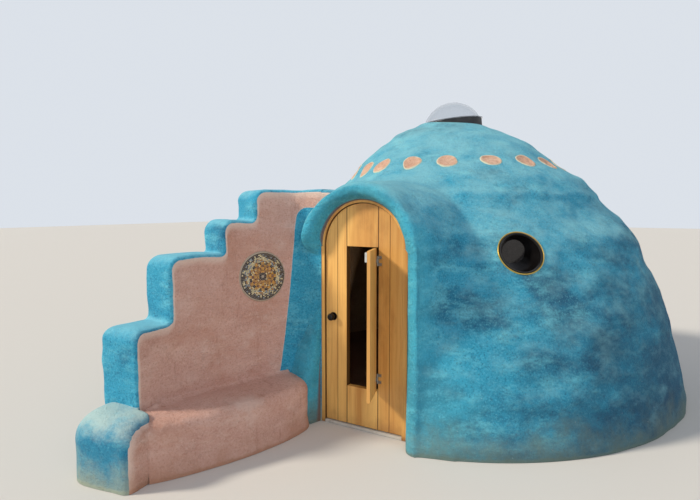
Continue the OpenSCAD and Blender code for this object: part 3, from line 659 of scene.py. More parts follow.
grout = surface("mosaic_grout", paint_worn((176, 160, 140), (120, 104, 90), 40.0), 0.95)
acrylic = surface("clear_acrylic", paint_plain((238, 240, 242)), 0.04, Transmission_Weight=1.0, IOR=1.2)
smoked = surface("porthole_glass", paint_bowl, 0.12)


# The dome's own form


def wall_radius(z, radius=DOME_R, close=DOME_CLOSE_Z):
    """Radius of a wall's nominal curve at a height."""
    return radius * np.sqrt(np.clip(1 - (np.clip(z, 0, None) / close) ** DOME_BOW, 1e-6, 1))


SHOULDER_R = float(wall_radius(SHOULDER_Z))


def cap_height(r, edge=SHOULDER_R):
    """Height of the cap's nominal curve at a radius: the outer one or, with the room's edge, the inner."""
    return SHOULDER_Z + CAP_CLOSE * edge / SHOULDER_R * (1 - (r / edge) ** CAP_BOW)


def dome_swell(angle, z):
    """How far the hand-built dome stands out of its nominal curve, level outwards, in metres.

    The right side has a fuller belly at 1.5 m and a hollow over it. The left front is flatter under
    the shoulder and fuller towards the crown. The lowest course kicks out.
    """
    right = bump(angle, 1.6, 0.9)
    left = bump(angle, -0.9, 0.75)
    swell = right * (0.038 * bump(z, 1.47, 0.16) - 0.034 * bump(z, 1.80, 0.08) - 0.030 * bump(z, 2.18, 0.16)
                     - 0.026 * bump(z, 0.48, 0.24))
    swell += left * (-0.14 * bump(z, 1.98, 0.22) + 0.15 * bump(z, 2.56, 0.10))
    swell += bump(angle, 1.05, 0.35) * (0.026 * bump(z, 1.49, 0.08) - 0.044 * bump(z, 1.67, 0.10))
    swell += 0.016 * bump(z, 2.01, 0.05) * (1 - 0.6 * left) + 0.010 * bump(z, 1.86, 0.03)
    swell -= 0.030 * smooth(z, 0.0, 0.16) * (1 - right) + 0.012 * right * smooth(z, 0.05, 0.20)
    return swell


def crown_collar(r, angle):
    """Plaster heaped against the skylight's curb, highest where the curb is low."""
    low_side = 0.5 - 0.5 * np.cos(angle - CURB_RISE)
    height = 0.016 + 0.020 * low_side
    return height * bump(r, 0.330, 0.060) * smooth(r, 0.290, 0.312)


def dome_field(p):
    """About the distance of a point from the dome's surface, positive outside.

    Below the shoulder it is the radius less the wall's own there, above it the height less the cap's
    own, each less what the hand-built form adds, over the root of one plus the surface's slope squared.
    """
    r = np.hypot(p[:, 0], p[:, 1])
    angle = np.arctan2(p[:, 0], -p[:, 1])
    z = p[:, 2]
    swell = dome_swell(angle, z)
    rise = np.clip(z / DOME_CLOSE_Z, 0, 1) ** (DOME_BOW - 1)
    lean = rise * DOME_R ** 2 * DOME_BOW / 2 / DOME_CLOSE_Z / wall_radius(z)
    wall = (r - wall_radius(z) - swell) / np.sqrt(1 + lean ** 2)
    slope = CAP_CLOSE * CAP_BOW / SHOULDER_R * (np.clip(r, 0.05, None) / SHOULDER_R) ** (CAP_BOW - 1)
    cap = z - cap_height(np.clip(r - swell, 0, None)) - crown_collar(r, angle)
    cap = cap / np.sqrt(1 + slope ** 2)
    return np.where(z < SHOULDER_Z, wall, cap)


# The entry: hood and right pier


def front_plane(x, z):
    """Y of the entry's front, which leans back as it rises; low on the left it runs back into the pier."""
    plane = -PIER_FRONT + z * PIER_LEAN
    back = smooth(-x, 0.20, 0.40) * (1 - smooth(z, 1.33, 1.54))
    return plane + back * (FRAME_Y + 0.03 - plane)


def entry_field(p):
    """About the distance from the entry's mass: a vault that widens and sinks towards the dome.

    A dent in its upper left keeps to one turn round the vault's axis.
    """
    x, y, z = p[:, 0], p[:, 1], p[:, 2]
    depth = np.clip(y - VAULT_Y, -0.1, 1.0)
    axis_z = DOOR_SPRING - VAULT_SINK * depth
    side = np.where(z > axis_z, np.hypot(x, z - axis_z), np.abs(x)) - (VAULT_R + VAULT_SPREAD * depth)
    side = side + 0.035 * bump(np.arctan2(z - axis_z, x), DENT_TURN, DENT_WIDTH)
    ends = np.maximum(front_plane(x, z) - y, y - VAULT_END_Y)
    body = soft_max(side, ends, FRONT_ROUND)
    ring = np.where(z > DOOR_SPRING, np.hypot(x, z - DOOR_SPRING), np.abs(x)) - ROLL_R
    ring = ring + 0.030 * bump(np.arctan2(z - DOOR_SPRING, x), DENT_TURN, DENT_WIDTH)
    roll = np.hypot(ring, y - front_plane(x, z) - 0.030) - ROLL_HALF
    return soft_min(body, roll, ROLL_ROUND)


def house_field(p):
    """The dome and its entry, run into each other over a broad valley, deepest on the hood's right."""
    dome, entry = dome_field(p), entry_field(p)
    groove = bump(dome - entry, 0.0, 0.07) * smooth(p[:, 0], 0.25, 0.50) * smooth(p[:, 2], 1.28, 1.50)
    return soft_min(dome, entry, VALLEY_ROUND) + GROOVE * groove


def heart(z):
    """Where the rays that find the surface start: in the room, level with low targets."""
    return np.stack([np.full(len(z), HEART_X), np.full(len(z), HEART_Y), np.minimum(z, HEART_Z)], -1)


def cast(start, ray, field):
    """Where rays leave the field: 26 halvings of a length of 4.5 m that starts inside it."""
    near = np.zeros(len(ray))
    far = np.full(len(ray), 4.5)
    for _ in range(26):
        middle = (near + far) / 2
        outside = field(start + ray * middle[:, None]) > 0
        far = np.where(outside, middle, far)
        near = np.where(outside, near, middle)
    return start + ray * near[:, None]


def field_normal(p, field, step=0.004):
    """Outward direction of the field at points, from differences along the three axes."""
    return unit(np.stack([field(p + step * axis) - field(p - step * axis) for axis in np.eye(3)], -1))


def port_frame():
    """Middle, outward axis, level side and upward side of the porthole on the nominal wall."""
    r = float(wall_radius(PORT_Z))
    rise = (PORT_Z / DOME_CLOSE_Z) ** (DOME_BOW - 1)
    tilt = math.atan(DOME_R ** 2 * DOME_BOW * rise / (2 * DOME_CLOSE_Z * r))
    level = np.array([math.sin(PORT_ANGLE), -math.cos(PORT_ANGLE), 0.0])
    axis = level * math.cos(tilt) + np.array([0, 0, math.sin(tilt)])
    side = np.array([math.cos(PORT_ANGLE), math.sin(PORT_ANGLE), 0.0])
    return level * r + np.array([0, 0, PORT_Z]), axis, side, np.cross(axis, side)


def square_places(a, b):
    """Layer and angle of steps (a, b) from the middle of square layers, and the steps as parts of it."""
    layer = np.maximum(np.abs(a), np.abs(b))
    safe = np.maximum(layer, 1)
    eighth = math.pi / 4
    side = np.where(a >= 0, eighth * b / safe, math.pi - eighth * b / safe)
    ends = np.where(b >= 0, math.pi / 2 - eighth * a / safe, -math.pi / 2 + eighth * a / safe)
    return layer, np.where(np.abs(a) >= np.abs(b), side, ends), a / safe, b / safe


class RoundGrid:
    """A grid round a dome: columns from the back round to the back, dense at the door, rows up its curve.

    The door's springing line falls on the spring row. Square layers round the door's middle line above
    that row, upright ones below it, and square layers round the porthole can be bent to their shapes.
    """

    def __init__(self, columns, rows, spring_row, wall, cap, edge):
        """Rows evenly along the curve of wall(height) and cap(radius), in to the edge's radius."""
        self.columns, self.rows, self.spring_row = columns, rows, spring_row
        self.door_column = columns // 2
        z = np.linspace(0, SHOULDER_Z, 200)
        cap_r = np.linspace(float(wall(SHOULDER_Z)), edge, 120)[1:]
        r = np.concatenate([wall(z), cap_r])
        z = np.concatenate([z, cap(cap_r)])
        run = path_run(np.stack([r, z], -1))
        spring = np.interp(DOOR_SPRING, z, run)
        at = np.concatenate([np.linspace(0, spring, spring_row + 1),
                             np.linspace(spring, run[-1], rows - spring_row)[1:]])
        self.r = np.interp(at, run, r)
        self.z = np.interp(at, run, z)
        self.j, self.i = np.divmod(np.arange(rows * columns), columns)
        self.below = self.j <= spring_row
        self.layer, self.turn, a, self.rise = square_places(
            (self.i - self.door_column).astype(float), np.clip(self.j - spring_row, 0, None).astype(float))
        self.across = np.where(self.below, np.sign(a), a)
        self.port_i = int(np.argmin(np.abs(self.angle(np.arange(columns)) - PORT_ANGLE)))
        self.port_j = int(np.argmin(np.abs(self.z - PORT_Z)))
        self.port_layer, self.port_turn, self.port_a, self.port_b = square_places(
            (self.i - self.port_i).astype(float), (self.j - self.port_j).astype(float))

    def angle(self, i):
        """Angle from the door of a column, which may be a fraction: steps grow towards the back."""
        t = (np.asarray(i, float) - self.door_column) / (self.columns / 2)
        return math.pi * np.sign(t) * (0.50 * np.abs(t) + 0.50 * np.abs(t) ** 3.2)

    def at(self, i, j):
        """Point of the nominal curve at a fractional column and row."""
        angle = self.angle(i)
        row = np.arange(self.rows)
        r = np.interp(j, row, self.r)
        return np.stack([r * np.sin(angle), -r * np.cos(angle), np.interp(j, row, self.z)], -1)

    def sample(self, points, i, j):
        """Points of the grid at fractional columns and rows."""
        grid = points.reshape(self.rows, self.columns, 3)
        i = np.clip(i, 0, self.columns - 1.001)
        j = np.clip(j, 0, self.rows - 1.001)
        i0, j0 = np.floor(i).astype(int), np.floor(j).astype(int)
        fi, fj = (i - i0)[:, None], (j - j0)[:, None]
        return ((grid[j0, i0] * (1 - fi) + grid[j0, i0 + 1] * fi) * (1 - fj)
                + (grid[j0 + 1, i0] * (1 - fi) + grid[j0 + 1, i0 + 1] * fi) * fj)

    def door_ring(self, layer):
        """Column and row, for each place, of the place in a given layer that is in line with the door."""
        return (self.door_column + self.across * layer,
                np.where(self.below, self.j, self.spring_row + self.rise * layer))

    def door_block(self, half, reach):
        """Which places lie between two layers round the door, and their share of the way out."""
        block = (self.layer >= half) & (self.layer <= reach)
        return block[:, None], np.clip((self.layer - half) / (reach - half), 0, 1)[:, None]

    def round_port(self, points, half, reach, radius, sunk=0.0):
        """Points, with those between two layers round the porthole bent from a circle out to a square."""
        middle, axis, side, up = port_frame()
        turn, layer = self.port_turn[:, None], self.port_layer[:, None]
        circle = middle - axis * sunk + radius * (np.cos(turn) * side + np.sin(turn) * up)
        border = self.at(self.port_i + self.port_a * reach, self.port_j + self.port_b * reach)
        share = (layer - half) / (reach - half)
        block = (layer >= half) & (layer <= reach)
        return np.where(block, circle * (1 - share) + border * share, points)

    def faces(self, door_layer, port_layer):
        """Faces of the grid, less those inside a layer round the door and one round the porthole."""
        quads = grid_quads(self.columns, self.rows, wrap=True)
        keep = (self.layer >= door_layer) & (self.port_layer >= port_layer)
        return quads[keep[quads].all(1)]


def arch_edges(turn, z):
    """The reveal's edge at the frame, its front corner, a point past that, and the radius of its arris.

    Below the springing line they stand on either side at height z, above it they go round the arch. The
    splay opens the arch by its depth, which depends on the radius it opens to: they are settled by turns.
    """
    upper = z >= DOOR_SPRING
    c, s = np.cos(turn), np.sin(turn)
    sign = np.where(c >= 0, 1.0, -1.0)
    frame_x = np.where(upper, (ARCH_R + SLACK) * c, sign * (HALF_FRAME + SLACK))
    frame_z = np.where(upper, DOOR_SPRING + (ARCH_R + SLACK) * s, z)
    r = np.full(len(turn), ARCH_R + 0.05)
    for _ in range(4):
        r = ARCH_R + SPLAY * (FRAME_Y - front_plane(r * c, DOOR_SPRING + r * s))
    foot = 1 - smooth(s, 0.0, 0.35)
    r = r + foot * (HALF_FRAME - ARCH_R)
    side_x = HALF_FRAME + SPLAY * (FRAME_Y - front_plane(sign * 0.44, z))
    round_r = np.where(upper, 0.055 + 0.015 * foot, 0.07)

    def on_front(past):
        """The point of the front plane that is some way out from the corner."""
        x = np.where(upper, (r + past) * c, sign * (side_x + past))
        height = np.where(upper, DOOR_SPRING + (r + past) * s, z)
        return np.stack([x, front_plane(x, height), height], -1)

    edge = np.stack([frame_x, np.full(len(turn), FRAME_Y + SLACK), frame_z], -1)
    return edge, on_front(0.0), on_front(round_r), round_r


def around_port(points, hole_r, calm_r):
    """Points near the porthole pulled into its plane, so that its rim lies flat on the plaster."""
    middle, axis = port_frame()[:2]
    off = points - middle
    depth = off @ axis
    reach = np.linalg.norm(off - axis * depth[:, None], axis=1)
    near = (reach < calm_r) & (np.abs(depth) < 0.25)
    keep = np.where(near, smooth(reach, hole_r, calm_r), 1.0)
    return points - axis * (depth * (1 - keep))[:, None]


def dome_relief(points):
    """Points of the dome moved by hand: its uneven plaster, and a shallow seat under each disc.

    The plaster stays calm round the porthole and the skylight, where fittings lie on it.
    """
    calm = smooth(np.linalg.norm(points - port_frame()[0], axis=1), 0.19, 0.42)
    calm = calm * smooth(np.hypot(points[:, 0], points[:, 1]), CURB_R, 0.6)
    relief = DOME_RELIEF * hand_relief(points, DOME_SEED) * calm
    moved = points + field_normal(points, house_field) * relief[:, None]
    for centre, out in zip(*disc_places()):
        seat = 1 - smooth(np.linalg.norm(points - centre, axis=1), 0.060, 0.095)
        moved -= out * (0.014 * seat)[:, None]
    return moved


def reveal_places(t, edge, corner, ring, round_r):
    """Points beside the door: a straight splay from the frame (t = 0), then a bend out to the wall (t = 1).

    The bend starts round_r short of the corner, halfway along t, and ends on the wall's ring of points.
    """
    bend = edge - corner
    turn = corner + bend * np.minimum(round_r / np.linalg.norm(bend, axis=1), 0.8)[:, None]
    arris = curve(turn, corner, ring, np.clip(t * 2 - 1, 0, 1)[:, None])
    early = np.clip(t * 2, 0, 1)[:, None]
    splay = edge * (1 - early) + turn * early
    relief = REVEAL_RELIEF * hand_relief(splay, REVEAL_SEED) * np.clip(t * 4, 0, 1)
    return np.where(t[:, None] > 0.5, arris, splay + unit(ring - edge) * relief[:, None])


def dome_skin():
    """The house's outer plaster with its entry, as far in as the frame and under the skylight's curb.

    Rays from the heart of the room through a round grid find the surface where the field is zero.
    """
    door_half, door_reach, layers, port_half, port_reach = 30, 52, 12, 10, 22
    grid = RoundGrid(380, 150, spring_row=68, wall=wall_radius, cap=cap_height, edge=CURB_R - 0.02)
    foot = grid.j == 0
    target = grid.at(grid.i, grid.j)
    start = heart(target[:, 2])
    ray = unit(grid.round_port(target, port_half, port_reach, PORT_HOLE_R) - start)
    edge, corner, out, round_r = arch_edges(grid.turn, np.where(grid.below, grid.z[grid.j], DOOR_SPRING))
    border = grid.at(*grid.door_ring(door_reach))
    block, share = grid.door_block(door_half, door_reach)
    ray = np.where(block, unit(unit(out - start) * (1 - share) + unit(border - start) * share), ray)
    points = dome_relief(cast(start, ray, house_field))
    points[:, 2] = np.where(foot, 0.0, np.maximum(points[:, 2], 0))

    # No place round the dome stands outside its foot
    reach = np.hypot(points[:, 0], points[:, 1])
    widest = DOME_R - SLACK
    outside = (reach > widest) & (np.abs(points[:, 0]) > 0.8)
    points[:, :2] *= np.where(outside, widest / reach, 1.0)[:, None]
    points = around_port(points, PORT_HOLE_R, 0.36)

    first = door_half - layers
    t = (grid.layer - first) / layers
    ring = grid.sample(points, *grid.door_ring(door_half))
    inner = (grid.layer < door_half) & (grid.layer >= first)
    points = np.where(inner[:, None], reveal_places(t, edge, corner + (ring - out), ring, round_r), points)
    points[:, 2] = np.where(foot, 0.0, points[:, 2])
    piece = new_mesh("dome_skin", points, grid.faces(first, port_half), turquoise, "turquoise_plaster",
                     bare=np.where(inner, 1 - t * 3, 0))
    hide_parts("wall_door_left", "wall_door_right", "wall_over_door", "wall_porthole", "wall_right",
                "wall_back_right", "wall_back_left", "wall_left", "wall_front_left", "cap_front",
                "cap_right", "cap_back", "cap_left", "entry_hood", "entry_pier_right")


def room_wall(z):
    """Radius of the room's wall at a height."""
    return wall_radius(z, ROOM_R + 0.004, ROOM_CLOSE_Z)


def room_cap(r):
    """Height of the room's ceiling at a radius."""
    return cap_height(r, float(room_wall(SHOULDER_Z)))


def room_skin():
    """The room's plaster, with the passage to the door and the throat up to the skylight.

    The room's curve turned about the upright axis, with blocks of its grid bent round the two openings,
    the passage drawn straight out from its block, and hand relief inwards, away from the solids.
    """
    door_half, door_reach, layers, port_half, port_reach = 13, 24, 5, 5, 11
    grid = RoundGrid(150, 60, spring_row=28, wall=room_wall, cap=room_cap, edge=CROWN_HOLE_R)
    points = grid.at(grid.i, grid.j)

    # The passage's end in the room, then the block of wall bent to meet it, on the wall's own curve
    passage_x = grid.across * (HALF_FRAME + SLACK)
    top = PASSAGE_Z + PASSAGE_RISE * (1 - (passage_x / HALF_FRAME) ** 2)
    passage_z = np.where(grid.below, grid.z[grid.j], DOOR_SPRING + (top - DOOR_SPRING) * grid.rise)
    depth = np.sqrt(np.clip(room_wall(passage_z) ** 2 - passage_x ** 2, 0.04, None))
    ring = np.stack([passage_x, -depth, passage_z], -1)
    block, share = grid.door_block(door_half, door_reach)
    blend = ring * (1 - share) + grid.at(*grid.door_ring(door_reach)) * share
    on_wall = room_wall(blend[:, 2]) / np.maximum(np.hypot(blend[:, 0], blend[:, 1]), 0.05)
    blend[:, :2] *= np.where(blend[:, 2] < SHOULDER_Z, on_wall, 1.0)[:, None]
    points = np.where(block, blend, points)
    inner = (grid.layer < door_half) & (grid.layer >= door_half - layers)
    back = np.clip((door_half - grid.layer) / layers, 0, 1)
    tunnel = np.stack([passage_x, -depth * (1 - back) + BACK_Y * back, passage_z], -1)
    points = np.where(inner[:, None], tunnel, points)
    points = grid.round_port(points, port_half, port_reach, PORT_TUBE_R, PORT_DEPTH)

    # The throat: five rows from the ceiling's edge up to the crown, then one out under the curb
    quads = grid.faces(door_half - layers, port_half)
    last = points[-grid.columns:]
    throat = [last + np.array([0, 0, 1]) * (CROWN_Z - last[0, 2]) * k / 4 for k in range(5)]
    throat.append(last * np.array([1.14, 1.14, 0]) + np.array([0, 0, CROWN_Z - 0.004]))
    quads = np.concatenate([quads, grid_quads(grid.columns, len(throat), len(points), wrap=True)])
    points = np.concatenate([points] + throat)
    outwards = unit(points * np.array([1, 1, 0]))
    points = points - outwards * (ROOM_RELIEF * np.abs(hand_relief(points, ROOM_SEED)))[:, None]
    new_mesh("room_skin", points, quads[:, ::-1], room_plaster, "turquoise_plaster")


def porthole_ring():
    """The brass rim: a thin face and a bevel that leads into the tube, turned about the porthole's axis.

    Its profile is in pairs: how far inside the rim's edge, and how far out of the wall.
    """
    middle, axis, side, up = port_frame()
    spokes = 96
    turns = np.linspace(0, 2 * math.pi, spokes, endpoint=False)[:, None]
    across = np.cos(turns) * side + np.sin(turns) * up
    profile = ((0.0, -0.010), (0.0, 0.006), (0.002, 0.009), (0.005, 0.0095), (0.008, 0.007),
               (0.016, -0.006), (0.020, -0.018), (0.020, -0.030))
    rows = [middle + across * (PORT_RIM_R - inset) + axis * lift for inset, lift in profile]
    piece = new_mesh("porthole_ring", np.concatenate(rows), grid_quads(spokes, len(rows), wrap=True),
                     brass_rim, "brass_rim")
    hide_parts("porthole_rim")


# The wing wall


def wing_at(angle, r):
    """A place on the wing wall, from its angle and its distance from the curve's middle."""
    return np.stack([WING_X - r * np.cos(angle), WING_Y + r * np.sin(angle)], -1)


def wing_line():
    """The wall's front in plan from inside the hood to the low end: distances from the door post, points.

    A cove leads from the post into the wall's own curve. The first points run on behind the post.
    """
    cove = math.radians(29)
    start = np.array([-HALF_FRAME + 0.010, FRAME_Y - 0.003])
    end = wing_at(cove, WING_R)
    tangent = np.array([math.sin(cove), math.cos(cove)])
    knee = end + tangent * (start[1] - end[1]) / tangent[1]
    behind = start + np.array([1.0, 0.0]) * np.linspace(0.46, 0.01, WING_BEHIND)[:, None]
    bend = curve(start, knee, end, np.linspace(0, 1, 40)[:, None])
    arc = wing_at(np.linspace(cove, WING_ENDS[-1] - 0.03, 160)[1:], WING_R)
    line = np.concatenate([behind, bend, arc])
    run = path_run(line)
    return run - run[WING_BEHIND], line


def nearest(points, spot):
    """Number of the point of a path that is nearest to a place."""
    return int(np.argmin(np.linalg.norm(points - np.array(spot), axis=1)))


WING_RUN, WING_LINE = wing_line()
# Distances from the door post to the steps' ends, and the wall's thickness at the post and at each of them
WING_STOPS = [float(WING_RUN[nearest(WING_LINE, wing_at(a, WING_R))]) for a in WING_ENDS]
WING_THICK = WING_T + np.array([0.0, 0.040, 0.0, -0.012, 0.045])


def on_wing(s):
    """Place in plan of the wall's front at a distance from the door post."""
    return np.stack([np.interp(s, WING_RUN, WING_LINE[:, 0]), np.interp(s, WING_RUN, WING_LINE[:, 1])], -1)


def along_wing(s, depth, step=0.01):
    """Place in plan at a distance from the door post and a depth behind the wall's front."""
    way = unit(on_wing(s + step) - on_wing(s - step))
    return on_wing(s) + np.stack([way[..., 1], -way[..., 0]], -1) * depth[..., None]


def wing_thickness(line):
    """The wall's thickness at places (distance along it, height).

    It is thin behind the door post and low beside it, where the passage and the room are.
    """
    s, z = line[:, 0], line[:, 1]
    full = np.interp(s, [0.0] + WING_STOPS, WING_THICK)
    post = (1 - smooth(s, 0.012, 0.035)) * (1 - smooth(z, PASSAGE_Z + 0.005, PASSAGE_Z + 0.045))
    low = (1 - smooth(s, 0.05, 0.34)) * (1 - smooth(z, 0.80, 1.20))
    return full + (BACK_Y - FRAME_Y - 0.012 - full) * np.maximum(post, low)


def wing_sheet(outline, inward, foot, back_foot):
    """Points of the wall under an outline, with their distance along it, height and paint border.

    Each row carries the whole outline: up the front from its foot, round the front arris, back over the
    top, round the back arris and down the back. A row is its places, their depth and their border.
    """
    rows = []
    inset = outline + inward * FRONT_ARRIS
    for t in np.linspace(0, 1, FRONT_ROWS)[:-1]:
        line = foot * (1 - t) + inset * t
        rows.append((line, 0.0, -np.linalg.norm(line - inset, axis=1) - PINK_LAP))
    for turn in np.linspace(0, math.pi / 2, 7):
        line = outline + inward * FRONT_ARRIS * (1 - math.sin(turn))
        rows.append((line, FRONT_ARRIS * (1 - math.cos(turn)), FRONT_ARRIS * turn - PINK_LAP))
    top = wing_thickness(outline) - BACK_ARRIS - FRONT_ARRIS
    for t in np.linspace(0, 1, 9)[1:]:
        rows.append((outline, FRONT_ARRIS + top * t, 0.04 + 0.2 * t))
    for turn in np.linspace(0, math.pi / 2, 9)[1:]:
        line = outline + inward * BACK_ARRIS * (1 - math.cos(turn))
        rows.append((line, wing_thickness(line) - BACK_ARRIS + BACK_ARRIS * math.sin(turn), ALL_BLUE))
    inset = outline + inward * BACK_ARRIS
    for t in np.linspace(0, 1, BACK_ROWS)[1:]:
        line = inset * (1 - t) + back_foot * t
        rows.append((line, wing_thickness(line), ALL_BLUE))
    flat = np.zeros(len(outline))
    rows = np.array([(line[:, 0], line[:, 1], flat + depth, flat + border) for line, depth, border in rows])
    s, z, depth, border = np.moveaxis(rows, 1, 0)
    points = np.concatenate([along_wing(s, depth), z[..., None]], -1)
    medal = np.append(wing_at(MEDAL_ANGLE, WING_R), MEDAL_Z)
    calm = smooth(np.linalg.norm(points - medal, axis=-1), MEDAL_R, 0.34) * smooth(s, 0.0, 0.10)
    relief = WING_RELIEF * hand_relief(points, WING_SEED) * calm
    points = points + grid_normals(points) * relief[..., None]
    points[..., 2] = np.where(z <= 1e-6, 0, np.maximum(points[..., 2], 0))
    return points, s, z, border


def wing_steps():
    """Each step's end, its top and the top below it, which is height zero under the last."""
    return zip(WING_STOPS, WING_TOPS, WING_TOPS[1:] + [0.0])


def wing_outline():
    """The steps' slightly uneven outline, as (distance along, height), and its inward directions."""
    corners, radii = [(0.0, WING_TOPS[0])], []
    for s, top, below in wing_steps():
        corners += [(s, top), (s, below)]
        radii += [STEP_BEND, STEP_CREASE]
    outline, inward = rounded_path(corners, radii)
    places = np.concatenate([outline, np.zeros((len(outline), 1))], 1)
    outline[:, 1] += STEP_RELIEF * lumps(places, 0.22, STEP_SEED) * smooth(outline[:, 1], 0.0, 0.3)
    return outline, inward


def wing_feet(outline):
    """Where the columns under the outline stand, in front and at the back, as distances along the wall.

    Those under a step's upright end fan out towards the door, so none cross.
    """
    run = path_run(outline)
    knots, front, back = [0.0], [0.0], [0.0]
    for s, top, below in wing_steps():
        fan = s - 0.2 * (top - below)
        knots += [run[nearest(outline, (s - 0.03, top))], run[nearest(outline, (s, below + 0.03))]]
        front += [fan - 0.06, s - 0.036]
        back += [fan - 0.12, s - 0.089]
    return np.interp(run, knots, front), np.interp(run, knots, back)


def door_zone(s, z):
    """How far places are inside the blue zone beside the door: past a leaning line, under a round top."""
    lean = np.interp(z, [0.0, 0.4, 1.1, 1.7], [-0.715, -0.696, -0.636, -0.590])
    line_s = np.interp(-lean, -WING_LINE[WING_BEHIND:, 0], WING_RUN[WING_BEHIND:])
    over_s, over_z = s - line_s + ZONE_BEND, z - ZONE_TOP + ZONE_BEND
    corner = np.hypot(np.clip(over_s, 0, None), np.clip(over_z, 0, None))
    return ZONE_BEND - (corner + np.minimum(np.maximum(over_s, over_z), 0))


def wing_skin():
    """The stepped wall with rounded steps, and its cove into the left door post."""
    outline, inward = wing_outline()
    foot_s, back_s = wing_feet(outline)
    # A short length runs on over the door, into the hood, its foot on a round above the arch
    over = np.linspace(-OVER_DOOR, -0.002, 32)
    low = DOOR_SPRING + np.sqrt(np.clip(OVER_DOOR_R ** 2 - on_wing(over)[:, 0] ** 2, 0, None))
    outline = np.concatenate([np.stack([over, np.full(len(over), WING_TOPS[0])], -1), outline])
    inward = np.concatenate([np.tile([0.0, -1.0], (len(over), 1)), inward])
    foot_z = np.concatenate([low, np.zeros(len(foot_s))])
    foot, back_foot = [np.stack([np.concatenate([over, s]), foot_z], -1) for s in (foot_s, back_s)]
    points, s, z, border = wing_sheet(outline, inward, foot, back_foot)
    # The blue zone beside the door takes in the painted rows: the front and most of its arris
    zone = ZONE_GROWTH * door_zone(s, z)
    edge = border > zone
    front = np.arange(len(s))[:, None] < PAINTED_ROWS
    border = np.where(front, np.maximum(border, np.minimum(zone, ALL_BLUE)), border)
    piece = new_mesh("wing_skin", points.reshape(-1, 3), grid_quads(points.shape[1], len(points))[:, ::-1],
                     wing_plaster, "pink_plaster", border=border.ravel(), edge=edge.ravel())
    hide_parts("wing_step_1", "wing_step_2", "wing_step_3", "wing_step_4", "entry_pier_left")


def bench_skin():
    """The seat: its front swells out, its right end is rounded, and a cove joins it to the wall.

    Rows carry its outline up the side, round the top edge and over the top to a spine in the wall.
    """
    far = WING_R - BENCH_DEPTH + BENCH_R

    def front_r(angle):
        """Distance from the wing's middle to the seat's front, an arc of its own round a point far off."""
        across = far * np.cos(angle - BENCH_MIDDLE)
        return across - np.sqrt(across ** 2 - far ** 2 + BENCH_R ** 2)

    angles = np.linspace(BENCH_START, BENCH_END - 0.055, 96)
    front = wing_at(angles, front_r(angles))
    corner = wing_at(BENCH_END, front_r(BENCH_END))
    stop = wing_at(BENCH_END, front_r(BENCH_END) + 0.12)
    t = np.linspace(0, 1, 14)[1:, None]
    end = np.concatenate([curve(front[-1], corner, stop, t),
                          stop * (1 - t) + wing_at(BENCH_END, WING_R + 0.02) * t])
    outline = np.concatenate([front, end])
    way = unit(np.gradient(outline, axis=0))
    inward = np.stack([-way[:, 1], way[:, 0]], -1)
    reach = np.concatenate([angles, np.full(len(end), BENCH_END)])
    spine = wing_at(np.clip(reach, WING_ENDS[-1] - 0.010, BENCH_END - 0.05), WING_R + 0.015)
    cove = 0.030 * smooth(reach, WING_ENDS[-1], WING_ENDS[-1] + 0.08)

    top = BENCH_TOP - 0.004
    rows = []
    for z in (top - BENCH_EDGE) * np.linspace(0, 1, 26)[:-1]:
        rows.append((outline - inward * (0.012 * (1 - smooth(z, 0.0, 0.10))), z))
    for turn in np.linspace(0, math.pi / 2, 11):
        flat = outline + inward * (BENCH_EDGE * (1 - math.cos(turn)))
        rows.append((flat, top - BENCH_EDGE + BENCH_EDGE * math.sin(turn)))
    rim, rim_z = rows[-1]
    for t in np.linspace(0, 1, 22)[1:]:
        flat = rim * (1 - t) + spine * t
        gap = np.linalg.norm(flat - spine, axis=1)
        rows.append((flat, rim_z + 0.040 * t * (1 - t) + cove * (1 - smooth(gap, 0.0, 0.08)) ** 2))
    grid = np.array([np.column_stack([flat, np.zeros(len(flat)) + z]) for flat, z in rows])
    normal = grid_normals(grid)
    normal[-1] = (0, 0, -1)
    grid = grid - normal * (BENCH_RELIEF * hand_relief(grid, BENCH_SEED))[..., None]
    grid[..., 2] = np.maximum(grid[..., 2], 0)
    grid[0, :, 2] = 0
    count = grid.shape[0] * grid.shape[1]
    piece = new_mesh("bench_skin", grid.reshape(-1, 3), grid_quads(grid.shape[1], len(grid)), wing_plaster,
                     "pink_plaster", border=np.full(count, ALL_PINK), edge=np.ones(count))
    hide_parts("bench")


def pillar_places(p):
    """Angle and distance of points about the wing's middle."""
    return np.arctan2(p[:, 1] - WING_Y, WING_X - p[:, 0]), np.hypot(p[:, 0] - WING_X, p[:, 1] - WING_Y)


def pillar_top(angle):
    """Height of the pillar's top, which falls a little towards its end."""
    return PILLAR_TOP - 0.035 * smooth(-angle, 0.07, 0.17)


def pillar_field(p):
    """About the distance from the end pillar: five faces run into each other, softest at the back corner.

    It starts inside the lowest step, and in front of that wall at the seat's crease.
    """
    angle, r = pillar_places(p)
    crease = WING_ENDS[-1] - 0.022 + 0.024 * smooth(r, PILLAR_R + 0.01, PILLAR_R + 0.09)
    crease = crease + 0.030 * smooth(r, WING_R - 0.02, WING_R + 0.04)
    side = soft_max(PILLAR_R - r, (PILLAR_END - angle) * r, 0.075)
    side = soft_max(side, r - (WING_R + WING_T), 0.22)
    side = soft_max(side, p[:, 2] - pillar_top(angle), 0.15)
    return soft_max(side, (angle - crease) * r, 0.02)


